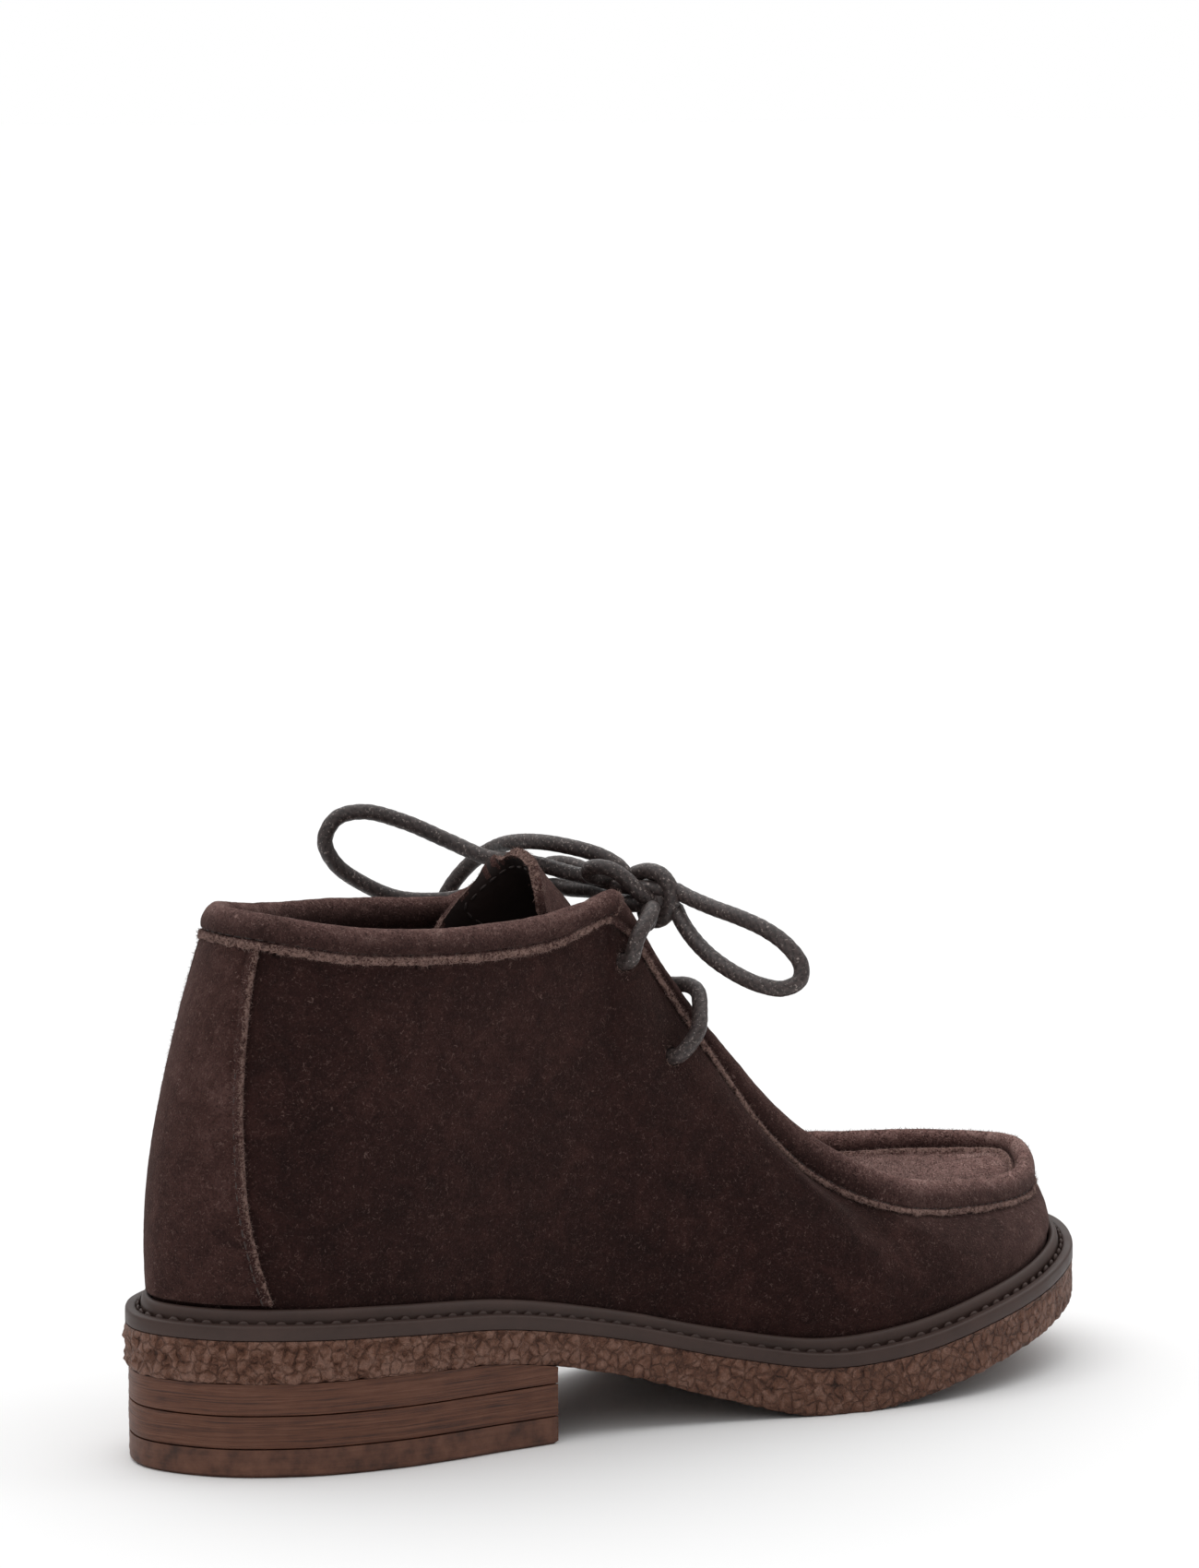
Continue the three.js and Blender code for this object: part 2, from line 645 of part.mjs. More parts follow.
let upper = solidOf(upperShell());
for (const place of eyeletPlaces) {
  for (const sign of [-1, 1]) {
    const { middle, axis } = eyelet(place, sign);
    const hole = new THREE.CylinderGeometry(eyeletRadius, eyeletRadius, 4 * wall, 16);
    hole.applyQuaternion(new THREE.Quaternion().setFromUnitVectors(new THREE.Vector3(0, 1, 0), axis));
    hole.translate(...middle);
    upper = upper.subtract(solidOf(hole));
  }
}
piece('upper', geometryOf(upper), suede, 0.95);
piece('midsole', pairedSlab([
  { inset: crepeEdge, height: crepeUnderside },
  { inset: 0, height: (x) => crepeUnderside(x) + crepeEdge },
  { inset: 0, height: crepeTop },
]), crepeBrown, 0.9);
piece('welt', weltRing(), rubberBrown, 0.6);
piece('insole', pairedSlab([
  { inset: insoleInset, height: (x) => crepeTop(x) + fitGap },
  { inset: insoleInset, height: (x) => crepeTop(x) + fitGap + insoleThickness },
]), liningBrown, 0.9);
const [lowerJoint, upperJoint] = liftJoints;
const heelSide = (height) => ({ inset: heelInset, height });
piece('top_lift', pairedSlab([
  { inset: heelInset + liftEdge, height: () => 0, cutInset: liftEdge },
  heelSide(() => liftEdge), heelSide(() => lowerJoint),
], heelLength), rubberBrown, 0.7);
piece('heel_lift_middle', pairedSlab([
  heelSide(() => lowerJoint + fitGap), heelSide(() => upperJoint),
], heelLength), crepeBrown, 0.85);
piece('heel_lift_upper', pairedSlab([
  heelSide(() => upperJoint + fitGap), heelSide((x) => crepeUnderside(x) - fitGap),
], heelLength), crepeBrown, 0.85);
piece('back_panel', backPanel(), suede, 0.95);
piece('tongue', tongueSheet(), suede, 0.95);

const lacing = solidOf(cord(lacingPath(-1, innerLead), 3)).add(solidOf(cord(lacingPath(1, outerLead), 3)));
piece('lace_crossing', geometryOf(lacing), laceBrown, 0.6);

const knotWrap = new THREE.TorusGeometry(wrapRadius, laceRadius, 8, 20);
knotWrap.applyQuaternion(new THREE.Quaternion().setFromUnitVectors(at(0, 0, 1), knotAxis));
knotWrap.translate(...knotPoint(wrapPlace, 0, 0));
const knotCore = new THREE.CylinderGeometry(coreRadius, coreRadius, coreFront - coreBack, 14);
knotCore.applyQuaternion(new THREE.Quaternion().setFromUnitVectors(at(0, 1, 0), knotAxis));
knotCore.translate(...knotPoint((coreFront + coreBack) / 2, 0, 0));
piece('lace_knot', geometryOf(solidOf(knotWrap).add(solidOf(knotCore))), laceBrown, 0.6);

// Bow and free ends, along routes taken from the way the lace lies
piece('lace_loop_outer', cord([
  knotPoint(knotFront, 0, 1.8), at(134.4, -22.5, 121.6), at(136.2, -30, 119.8), at(138.1, -38, 118.3),
  at(140.6, -45, 116.1), at(143, -50, 112.9), at(144.9, -53, 108.5), at(143.7, -54, 105.1),
  at(140.6, -52, 103.3), at(137.5, -48, 103.8), at(135.3, -42, 105.5), at(133.4, -34, 108.8),
  at(133, -27, 112.4), at(132.9, -22.5, 115.8), knotPoint(knotFront, 0, -2.7),
]), laceBrown, 0.6);
piece('lace_loop_inner', cord([
  knotPoint(knotBack, -strand, strand), at(124.3, -2.5, 123.9), at(121.5, 8, 124.8), at(118, 14.5, 126.2),
  at(114, 20.5, 126.9), at(110.3, 26, 127.3), at(104.5, 34, 130.8), at(96.2, 40, 135.2),
  at(87.4, 44, 137.8), at(81.7, 47, 136.3), at(79.1, 48, 131.1), at(81.3, 47, 125.6), at(88, 45, 120.4),
  at(95.5, 42, 116.9), at(102.9, 37, 116.3), at(108.5, 32.5, 117.3), at(115, 29.5, 119.2),
  at(121.5, 25.5, 122.6), at(125.5, 19.5, 125.4), at(128.6, 12, 124.6), at(130.2, 4, 121.6),
  at(130.4, -2.5, 119.4), knotPoint(knotBack, strand, -strand),
]), laceBrown, 0.6);
piece('lace_end', cord([
  knotPoint(knotBack, strand, strand), at(128.9, -3.6, 126.2), at(125.8, 0.5, 129.2), at(118, 8, 131.8),
  at(114.9, 19, 131.4), at(115.2, 31, 128.4), at(113.1, 38, 123.9), at(109.9, 42, 117.6),
  at(107.5, 44.5, 109), at(105.5, 44.5, 99), at(104.4, 43, 91),
]), laceBrown, 0.6);

const group = new THREE.Group();
group.add(pieces);
const edges = [];
for (let i = 0; i < stationCount; i++) edges.push(planPoint(i / stepsPerRow, 0));
const box = new THREE.Box3().setFromPoints(edges);
pieces.position.set(-(box.min.x + box.max.x) / 2, -(box.min.y + box.max.y) / 2, 0);

export default group;
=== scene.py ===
import math
import bpy
import numpy as np
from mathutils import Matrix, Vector, kdtree, noise


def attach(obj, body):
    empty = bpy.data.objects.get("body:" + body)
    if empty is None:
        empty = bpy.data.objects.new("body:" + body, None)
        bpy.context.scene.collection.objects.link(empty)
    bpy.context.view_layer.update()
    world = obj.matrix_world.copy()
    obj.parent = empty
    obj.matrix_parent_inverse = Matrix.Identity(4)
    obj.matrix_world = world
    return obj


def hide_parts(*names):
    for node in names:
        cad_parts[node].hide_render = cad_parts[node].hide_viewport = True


# Suede moc-toe ankle boot for a right foot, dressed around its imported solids.
# Shapes are worked out in millimetres, heel at x = 0 and toe towards +x, then moved into the row frame.

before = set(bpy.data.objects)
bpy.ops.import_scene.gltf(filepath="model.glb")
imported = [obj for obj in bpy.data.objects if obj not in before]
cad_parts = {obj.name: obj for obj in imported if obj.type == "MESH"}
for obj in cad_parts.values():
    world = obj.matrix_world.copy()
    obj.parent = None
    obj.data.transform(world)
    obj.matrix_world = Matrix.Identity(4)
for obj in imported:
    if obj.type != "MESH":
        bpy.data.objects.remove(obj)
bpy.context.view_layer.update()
print("frame loaded:", len(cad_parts), "nodes")

mm = 0.001
up = np.array([0.0, 0.0, 1.0])

boot = {
    "soleLength": 262, "ballWidth": 94.5, "shaftHeight": 95, "wall": 2.2, "fitGap": 0.3,
    "heelStack": 21.3, "heelLength": 91, "heelInset": 0.6, "liftJoints": (6.4, 13.9),
    "crepeThickness": 9.9, "crepeEdge": 0.9, "liftEdge": 0.8,
    "weltWidth": 6, "weltThickness": 3.2, "beadHeight": 2.9,
    "rollHeight": 8.7, "rollThickness": 5.6, "rollStand": 1.5, "panelGap": 0.55,
    "wallHandle": 0.3,
    "tongueThickness": 2.4, "tongueReach": 27, "tongueRoom": 6, "tongueFall": 3,
    "laceRadius": 1.9, "laceRoom": 0.35, "eyeletRadius": 2.6,
}

# Rows run from the heel, 0, up the outer side to the toe, 12, and back up the inner side to 24
loopRows, lastRow, throatRow = 24, 12, 8

soleTable = {
    "along": (0, .03, .1, .19, .3, .42, .52, .61, .7, .79, .88, .955, 1),
    "outer": (0, .19, .323, .374, .368, .366, .413, .485, .517, .497, .402, .225, -.074),
    "inner": (0, .19, .317, .357, .328, .291, .325, .41, .47, .482, .438, .31, .074),
    "lift": (1, 1, 1, 1, .94, .63, .24, -.03, .08, .3, .52, .7, .77),
    "gauge": (1, 1, .98, .9, .81, .85, 1.02, 1.2, 1.1, 1.06, 1, .97, .96),
}
crestTable = {
    "along": (.09, .107, .166, .252, .351, .444, .498, .552, .629, .71, .822, .919, .962),
    "outer": (0, .146, .243, .28, .265, .215, .19, .2, .265, .344, .296, .143, -.053),
    "inner": (0, .132, .229, .28, .265, .215, .19, .2, .265, .35, .35, .262, .053),
    "outerRise": (.998, .992, .965, .958, .984, 1.08, .947, .807, .556, .377, .284, .232, .25),
    "innerRise": (.998, .992, .965, .958, .984, 1.08, .947, .807, .557, .39, .309, .263, .25),
    "low": (.028, .028, .032, .024, .021, .021, .026, .032, .042, .032, .021, .016, .016),
    "high": (.036, .036, .04, .03, .021, .021, .032, .042, .053, .042, .032, .021, .021),
    "roll": (1, 1, 1, 1, 1, .95, .45, .62, 1, 1, .93, .85, .7),
    "crown": (0, 0, 0, 0, 0, 0, 0, 0, -.25, -.15, -.35, -.5, -.5),
}


def unit(v):
    return v / np.maximum(np.linalg.norm(v, axis=-1, keepdims=True), 1e-12)


def blendAlong(p0, p1, p2, p3, t):
    # one stretch of a smooth curve through four points, centripetal
    gap = [np.maximum(np.sum((b - a) ** 2, axis=-1, keepdims=True), 1e-12) ** 0.25
           for a, b in ((p0, p1), (p1, p2), (p2, p3))]
    gap[1] = np.where(gap[1] < 1e-4, 1, gap[1])
    gap[0] = np.where(gap[0] < 1e-4, gap[1], gap[0])
    gap[2] = np.where(gap[2] < 1e-4, gap[1], gap[2])
    a, b, c = gap
    start = ((p1 - p0) / a - (p2 - p0) / (a + b) + (p2 - p1) / b) * b
    end = ((p2 - p1) / b - (p3 - p1) / (b + c) + (p3 - p2) / c) * b
    return (p1 + start * t + (3 * (p2 - p1) - 2 * start - end) * t ** 2
            + (2 * (p1 - p2) + start + end) * t ** 3)


def closedCurve(points):
    points = np.array(points, float)

    def at(row):
        row = np.asarray(row, float) % len(points)
        i = np.floor(row).astype(int)
        four = [points[(i + k) % len(points)] for k in (-1, 0, 1, 2)]
        return blendAlong(*four, (row - i)[..., None])
    return at


def openCurve(points):
    points = np.array(points, float)
    padded = np.vstack([2 * points[:1] - points[1:2], points, 2 * points[-1:] - points[-2:-1]])

    def at(place):
        place = np.asarray(place, float)
        i = np.clip(np.floor(place).astype(int), 0, len(points) - 2)
        return blendAlong(*(padded[i + k] for k in range(4)), (place - i)[..., None])
    return at


def loopThrough(table, pointOf):
    points = []
    for row in range(loopRows):
        inner = row > lastRow
        line = {name: values[loopRows - row if inner else row] for name, values in table.items()}
        points.append(pointOf(line, "inner" if inner else "outer", 1 if inner else -1))
    return closedCurve(points)


def planOf(line, side, sign):
    return line["along"] * boot["soleLength"], sign * line[side] * boot["ballWidth"]


outlineAt = loopThrough(soleTable, lambda line, side, sign: (*planOf(line, side, sign), 0))
crestPlanAt = loopThrough(crestTable, lambda line, side, sign: (
    *planOf(line, side, sign), line[side + "Rise"] * boot["shaftHeight"]))
wallFormAt = loopThrough(crestTable, lambda line, side, sign: (line["low"], line["high"], line["roll"]))
crownAt = loopThrough(crestTable, lambda line, side, sign: (line["crown"], 0, 0))


def soleForm(x):
    # underside of the crepe and its thickness, by the distance from the heel
    t = np.array(soleTable["along"]) * boot["soleLength"]
    values = np.stack([np.array(soleTable["lift"]) * boot["heelStack"],
                       np.array(soleTable["gauge"]) * boot["crepeThickness"]], axis=-1)
    x = np.clip(np.asarray(x, float), t[0], t[-1])
    i = np.clip(np.searchsorted(t, x, side="right"), 1, len(t) - 1)
    before = np.where(i >= 2, i - 2, i)
    after = np.where(i + 1 < len(t), i + 1, i - 1)
    span = t[i] - t[i - 1]
    weightBefore = (span / 2 / (t[i - 1] - t[before]))[..., None]
    weightAfter = (span / 2 / (t[after] - t[i]))[..., None]
    p = ((x - t[i - 1]) / span)[..., None]
    return (values[before] * (-weightBefore * p ** 3 + 2 * weightBefore * p ** 2 - weightBefore * p)
            + values[i - 1] * ((1 + weightBefore) * p ** 3 + (-1.5 - 2 * weightBefore) * p ** 2
                               + (-0.5 + weightBefore) * p + 1)
            + values[i] * ((-1 - weightAfter) * p ** 3 + (1.5 + weightAfter) * p ** 2 + 0.5 * p)
            + values[after] * (weightAfter * p ** 3 - weightAfter * p ** 2))


def crepeUnderside(x):
    return np.maximum(soleForm(x)[..., 0], 0)


def crepeTop(x):
    return soleForm(x).sum(axis=-1)


def tangentOf(curve, row, near=0.02):
    return unit(curve(np.asarray(row) + near) - curve(np.asarray(row) - near))


def planPoint(row, inset):
    return outlineAt(row) - np.cross(tangentOf(outlineAt, row), up) * inset


def lifted(points, height):
    points = np.array(points, float)
    points[..., 2] = height
    return points


def crestAt(row):
    crest = crestPlanAt(row)
    return lifted(crest, crest[..., 2] + crepeTop(outlineAt(row)[..., 0]))


def crestFrame(row):
    foot = planPoint(row, boot["weltWidth"])
    foot = lifted(foot, crepeTop(foot[..., 0]))
    crest = crestAt(row)
    along = tangentOf(crestAt, row)
    down = foot - crest
    down = unit(down - along * np.sum(down * along, axis=-1, keepdims=True))
    return foot, crest, down, unit(np.cross(down, along))


wallBase = 2 * boot["fitGap"] + boot["weltThickness"] + boot["beadHeight"]


def wallCurve(row, share):
    # point and rise of the wall's outer face, from the welt to the seam under the roll
    foot, crest, down, out = crestFrame(row)
    low, high, roll = (wallFormAt(row)[..., k, None] for k in range(3))
    start = lifted(planPoint(row, boot["weltWidth"] + boot["fitGap"]), foot[..., 2] + wallBase)
    seam = crest + down * roll * boot["rollHeight"]
    span = np.linalg.norm(start - seam, axis=-1, keepdims=True)
    footOut = np.cross(tangentOf(outlineAt, row), up)
    lower = start + up * span * boot["wallHandle"] + footOut * low * boot["ballWidth"]
    upper = seam + unit(start - seam) * span * boot["wallHandle"] + out * high * boot["ballWidth"]
    t = np.asarray(share, float)[..., None]
    s = 1 - t
    point = start * s ** 3 + lower * 3 * s ** 2 * t + upper * 3 * s * t ** 2 + seam * t ** 3
    rise = (lower - start) * 3 * s ** 2 + (upper - lower) * 6 * s * t + (seam - upper) * 3 * t ** 2
    return point, rise


def wallPoint(row, share, offset=0.0, near=0.05):
    # a place on the wall's outer face or beyond it, and the way it faces
    row = np.asarray(row, float)
    share = np.asarray(share, float)
    point, rise = wallCurve(row, share)
    along = wallCurve(row + near, share)[0] - wallCurve(row - near, share)[0]
    normal = unit(np.cross(along, rise))
    return point + normal * np.asarray(offset, float)[..., None], normal


# the row frame's origin lies under the middle of the sole's outline, taken at three places a row
edge = planPoint(np.arange(loopRows * 3) / 3, 0)
frameShift = -lifted((edge.min(axis=0) + edge.max(axis=0)) / 2, 0)


def inFrame(points):
    return (np.asarray(points, float) + frameShift) * mm


def roughness(points, size, seed=0.0):
    # soft noise from -1 to 1 over points in millimetres, with lumps of a size
    flat = np.reshape(points, (-1, 3)) / size + seed
    values = np.array([noise.noise(Vector(p)) for p in flat])
    return values.reshape(np.shape(points)[:-1])


def lumpy(points, layers):
    # each layer of lumps is a height, a size and a seed
    return sum(height * roughness(points, size, seed) for height, size, seed in layers)


class Skin:
    # points, faces that look outwards, a material index for each face and named values for each point
    def __init__(self):
        self.points, self.faces, self.looks, self.values = [], [], [], {}

    def add(self, points, **values):
        points = np.asarray(points, float)
        flat = points.reshape(-1, 3)
        first = sum(len(p) for p in self.points)
        for name in set(self.values) | set(values):
            known = self.values.setdefault(name, np.zeros(first))
            extra = np.broadcast_to(values.get(name, 0.0), points.shape[:-1]).ravel()
            self.values[name] = np.concatenate([known, extra])
        self.points.append(flat)
        return (first + np.arange(len(flat))).reshape(points.shape[:-1])

    def face(self, corners, look=0):
        corners = [int(c) for k, c in enumerate(corners) if c != corners[k - 1]]
        if len(set(corners)) > 2:
            self.faces.append(corners)
            self.looks.append(look)

    def strip(self, lower, upper, look=0):
        for i in range(len(lower) - 1):
            self.face((lower[i], lower[i + 1], upper[i + 1], upper[i]), look)

    def made(self, name, materials, sharp=None):
        mesh = bpy.data.meshes.new(name)
        mesh.from_pydata(inFrame(np.vstack(self.points)).tolist(), [], self.faces)
        for material in materials:
            mesh.materials.append(material)
        mesh.polygons.foreach_set("material_index", self.looks)
        mesh.polygons.foreach_set("use_smooth", [True] * len(self.faces))
        if sharp:
            mesh.set_sharp_from_angle(angle=math.radians(sharp))
        for valueName, values in self.values.items():
            mesh.attributes.new(valueName, "FLOAT", "POINT").data.foreach_set("value", values)
        mesh.validate()
        return placed(name, mesh)


def placed(name, mesh):
    piece = bpy.data.objects.new(name, mesh)
    bpy.context.scene.collection.objects.link(piece)
    return piece


# Materials

def colour(code):
    # an sRGB hex code as linear colour
    parts = [int(code[k:k + 2], 16) / 255 for k in (1, 3, 5)]
    return [c / 12.92 if c <= 0.04045 else ((c + 0.055) / 1.055) ** 2.4 for c in parts] + [1]


def addNode(tree, kind, inputs=None, **settings):
    # each input is a plain value or another node's output
    node = tree.nodes.new(kind)
    for name, value in settings.items():
        setattr(node, name, value)
    for name, value in (inputs or {}).items():
        if isinstance(value, bpy.types.NodeSocket):
            tree.links.new(value, node.inputs[name])
        else:
            node.inputs[name].default_value = value
    return node


class Finish:
    # a material and the nodes that vary it over a piece, with sizes in millimetres
    def __init__(self, name, **shader):
        self.material = bpy.data.materials.new(name)
        self.material.use_nodes = True
        self.tree = self.material.node_tree
        self.principled = self.tree.nodes["Principled BSDF"]
        for socket, value in shader.items():
            self.principled.inputs[socket].default_value = value
        self.place = self.tree.nodes.new("ShaderNodeTexCoord").outputs["Object"]

    def noise(self, size, detail, output="Fac", place=None, **more):
        node = addNode(self.tree, "ShaderNodeTexNoise", {
            "Vector": place or self.place, "Scale": 1 / (size * mm), "Detail": detail, **more})
        return node.outputs[output]

    def cells(self, size, place=None, **settings):
        return addNode(self.tree, "ShaderNodeTexVoronoi", {
            "Vector": place or self.place, "Scale": 1 / (size * mm)}, **settings).outputs["Distance"]

    def carried(self, name):
        # a named value of the mesh's points
        return addNode(self.tree, "ShaderNodeAttribute", attribute_name=name).outputs["Fac"]

    def worked(self, operation, *terms):
        return addNode(self.tree, "ShaderNodeMath", dict(enumerate(terms)), operation=operation).outputs[0]

    def mixed(self, share, a, b, data_type="RGBA", **settings):
        return addNode(self.tree, "ShaderNodeMix", {"Factor": share, "A": a, "B": b},
                       data_type=data_type, **settings).outputs["Result"]

    def ramp(self, value, *stops):
        # each stop is a position and a hex code or a grey level
        node = addNode(self.tree, "ShaderNodeValToRGB", {"Fac": value})
        elements = node.color_ramp.elements
        while len(elements) < len(stops):
            elements.new(0.5)
        for element, (position, shade) in zip(elements, stops):
            element.position = position
            element.color = colour(shade) if isinstance(shade, str) else [shade, shade, shade, 1]
        return node.outputs["Color"]

    def give(self, socket, output):
        self.tree.links.new(output, self.principled.inputs[socket])

    def tint(self, value, *stops):
        self.give("Base Color", self.ramp(value, *stops))

    def bump(self, height, strength, depth):
        self.give("Normal", addNode(self.tree, "ShaderNodeBump", {
            "Height": height, "Strength": strength, "Distance": depth * mm}).outputs["Normal"])


# Split suede: brushed flesh side, with a short nap that gives a dull face, pale flecks and a pale rim.
# The nap lies dark on the walls and stands pale where the leather is rolled or brushed; the pale raised tone
# also paints light on the tops and rolls, and the dark laid tone paints shade on the walls.
suedeLook = {
    "laid": ("#201110", "#311d1a", "#422b28"), "raised": ("#3c2825", "#634a46", "#8e7670"),
    "toneStops": (0.32, 0.52, 0.72), "fleck": "#967d76", "cutEdge": "#786159", "rim": "#8f746c",
    "patch": 34, "streak": 7, "fibre": 0.9, "nap": 0.45, "tuft": 0.9, "napDepth": 0.4,
}


def suedeMaterial(name, look):
    finish = Finish(name, **{
        "Roughness": 0.95, "Specular IOR Level": 0.12, "Sheen Weight": 0.25, "Sheen Roughness": 0.45,
        "Sheen Tint": colour(look["rim"])})
    patch = finish.noise(look["patch"], 4, Roughness=0.55, Distortion=0.8)
    streak = finish.noise(look["streak"], 5, Roughness=0.6, Distortion=1.2)
    fibre = finish.noise(look["fibre"], 4, Roughness=0.75, Distortion=1.5)
    nap = finish.noise(look["nap"], 2, Roughness=0.7)
    tufts = finish.noise(look["tuft"], 3, Roughness=0.7, Distortion=1.0)
    # the wear value is part brushed nap and part painted light: high on the lit tops, rolls and apron, low on
    # the shaded walls and throat
    wearAndPaintedLight, cut = finish.carried("wear"), finish.carried("cutEdge")
    brushing = finish.mixed(0.55, patch, streak, data_type="FLOAT")
    laid, raised = (finish.ramp(brushing, *zip(look["toneStops"], look[way])) for way in ("laid", "raised"))
    # more and paler flecks where the wear value, which also carries the painted top light, is high
    flecks = finish.ramp(finish.worked("MULTIPLY_ADD", wearAndPaintedLight, 0.05, fibre), (0.57, 0), (0.73, 1))
    fleckShare = finish.worked("MULTIPLY", flecks, finish.worked("MULTIPLY_ADD", wearAndPaintedLight, 0.4, 0.3))
    flecked = finish.mixed(fleckShare, finish.mixed(wearAndPaintedLight, laid, raised), colour(look["fleck"]))
    frayed = finish.ramp(finish.worked("MULTIPLY", cut, tufts), (0.4, 0), (0.56, 0.85))
    edged = finish.mixed(frayed, flecked, colour(look["cutEdge"]))
    # painted shade between the fibres and painted highlight on their tips, deeper where they stand
    relief = finish.worked("ADD", fibre, nap)
    shade = finish.mixed(wearAndPaintedLight, finish.ramp(relief, (0.74, 0.6), (1.0, 1.24)),
                         finish.ramp(relief, (0.8, 0.32), (1.0, 1.75)))
    finish.give("Base Color", finish.mixed(1.0, edged, shade, blend_type="MULTIPLY"))
    finish.bump(relief, 0.8, look["napDepth"])
    return finish.material


suede = suedeMaterial("brushedSuede", suedeLook)
# a darker copy for the upper: partly the suede's dark laid nap, partly painted shade on the walls that face
# sideways
quarterSuedePaintedShade = suedeMaterial("brushedSuedeLaidNapPaintedShade", {**suedeLook, "laid": ("#190d0c", "#261513", "#35201d")})

# Pigskin lining: smooth drummed leather, dark, with fine pores and a low sheen
finish = Finish("pigskinLining", **{
    "Base Color": colour("#1d1412"), "Roughness": 0.7, "Specular IOR Level": 0.3})
finish.tint(finish.noise(18, 3), (0.3, "#17100f"), (0.7, "#2a1d1a"))
finish.bump(finish.cells(1.4), 0.3, 0.2)
lining = finish.material

# Moulded rubber welt: satin, a little dusty, with a soft highlight along the bead
finish = Finish("mouldedRubberWelt", **{
    "Base Color": colour("#3c3330"), "Roughness": 0.55, "Specular IOR Level": 0.3})
bloom = finish.noise(12, 6, Roughness=0.7)
finish.tint(bloom, (0.3, "#362722"), (0.7, "#45342f"))
finish.give("Roughness", finish.ramp(bloom, (0.3, 0.46), (0.7, 0.64)))
finish.bump(finish.noise(0.5, 2), 0.15, 0.1)
weltRubber = finish.material

# Milled crepe rubber: crumbs pressed into a sheet, reddish brown, with painted highlight on the crests and
# painted shade in the pits
finish = Finish("milledCrepeRubber", **{
    "Base Color": colour("#54392c"), "Roughness": 0.6, "Specular IOR Level": 0.35})
bent = finish.mixed(0.0022, finish.place, finish.noise(2.2, 3, output="Color"), blend_type="ADD")
fromGap = finish.cells(2.8, place=bent, feature="DISTANCE_TO_EDGE")
rounded = finish.ramp(fromGap, (0.0, 0), (0.12, 0.75), (0.4, 1))
grain = finish.noise(1.1, 4, Roughness=0.65, Distortion=1.0)
# painted shade between the crumbs and in the hollows, and painted light on the raised crumbs
tone = finish.worked("MULTIPLY_ADD", rounded, 0.2, finish.carried("relief"))
tone = finish.worked("MULTIPLY_ADD", grain, 0.6, tone)
tone = finish.worked("MULTIPLY_ADD", finish.noise(8, 3), 0.4, tone)
finish.tint(tone, (0.3, "#3a2319"), (0.5, "#5b3a2c"), (0.66, "#6f4a39"), (0.84, "#846152"))
finish.bump(finish.worked("MULTIPLY_ADD", rounded, 0.7, grain), 1.0, 1.2)
crepe = finish.material


# Stacked heel block: layers pressed and scoured, so that fine level lines run round it
def heelMaterial(name, light, dark, lines):
    finish = Finish(name, **{"Roughness": 0.55, "Specular IOR Level": 0.35})
    flat = addNode(finish.tree, "ShaderNodeMapping", {"Vector": finish.place, "Scale": (0.02, 0.02, 1)})
    drift = addNode(finish.tree, "ShaderNodeVectorMath", {
        0: finish.noise(30, 2, output="Color"), 1: (0, 0, 0.0012)}, operation="MULTIPLY")
    layered = addNode(finish.tree, "ShaderNodeVectorMath", {0: flat.outputs[0], 1: drift.outputs[0]},
                      operation="ADD")
    layers = finish.noise(0.42, 3, place=layered.outputs[0], Roughness=0.7)
    mottle = finish.noise(5, 5, Roughness=0.6)
    tone = finish.mixed(lines, mottle, layers, data_type="FLOAT")
    finish.tint(tone, (0.34, dark), (0.5, light), (0.7, "#6f4a39"))
    finish.bump(tone, 0.7, 0.6)
    return finish.material


heelStackRubber = heelMaterial("scouredHeelStack", "#5c3726", "#38211a", 0.8)
topLiftRubber = heelMaterial("mouldedTopLift", "#5a392b", "#3a241b", 0.2)

# Waxed cotton lace: tight round braid, dark, with painted shade in the grooves between the strands and small
# specks of wax that catch the light
finish = Finish("waxedCottonBraid", **{
    "Base Color": colour("#2f2825"), "Roughness": 0.5, "Specular IOR Level": 0.45})
speck = finish.noise(0.7, 3, Roughness=0.75)
# darker where the braid sinks: painted shade in the grooves between the strands
weave = finish.ramp(finish.carried("braid"), (0.1, "#1d1716"), (0.8, "#423735"))
specked = finish.mixed(finish.ramp(speck, (0.58, 0), (0.69, 0.85)), weave, colour("#a0938d"))
wash = finish.ramp(finish.noise(7, 3), (0.3, 0.8), (0.7, 1.15))
finish.give("Base Color", finish.mixed(1.0, specked, wash, blend_type="MULTIPLY"))
finish.give("Roughness", finish.ramp(speck, (0.35, 0.62), (0.7, 0.34)))
finish.bump(speck, 0.35, 0.2)
laceCotton = finish.material

# Spun polyester thread: dark, with a faint sheen
finish = Finish("spunThread", **{"Base Color": colour("#2b1d19"), "Roughness": 0.6, "Sheen Weight": 0.2})
finish.tint(finish.noise(0.4, 2), (0.35, "#211613"), (0.7, "#3d2a24"))
thread = finish.material

# Loose suede fibre: dull, pale where it catches the light
finish = Finish("looseSuedeFibre", **{
    "Base Color": colour("#7d6660"), "Roughness": 1.0, "Specular IOR Level": 0.1})
finish.tint(finish.noise(1.5, 3), (0.36, "#3c2a27"), (0.64, "#9a827b"))
looseFibre = finish.material
print("materials made")

# Camera, light and floor

view = {"place": (-0.7742, -1.1407, 0.3114), "towards": (0.5541, 0.8239, -0.1191),
        "lens": 136.3, "sensor": 36, "clip": 200}
studio = {"seen": 1.0, "fill": 0.42, "floor": "#f4f4f4", "floorReach": 30, "aim": (0, 0, 0.06),
          "overhead": 2.35, "overheadAngle": 100, "overheadSide": (0.1, 0.35, 1.0), "lamps": (
              ("sideLamp", (1.6, -0.7, 1.2), 1.0, 3.5), ("keyLamp", (-1.3, -1.2, 1.3), 1.2, 2.5))}


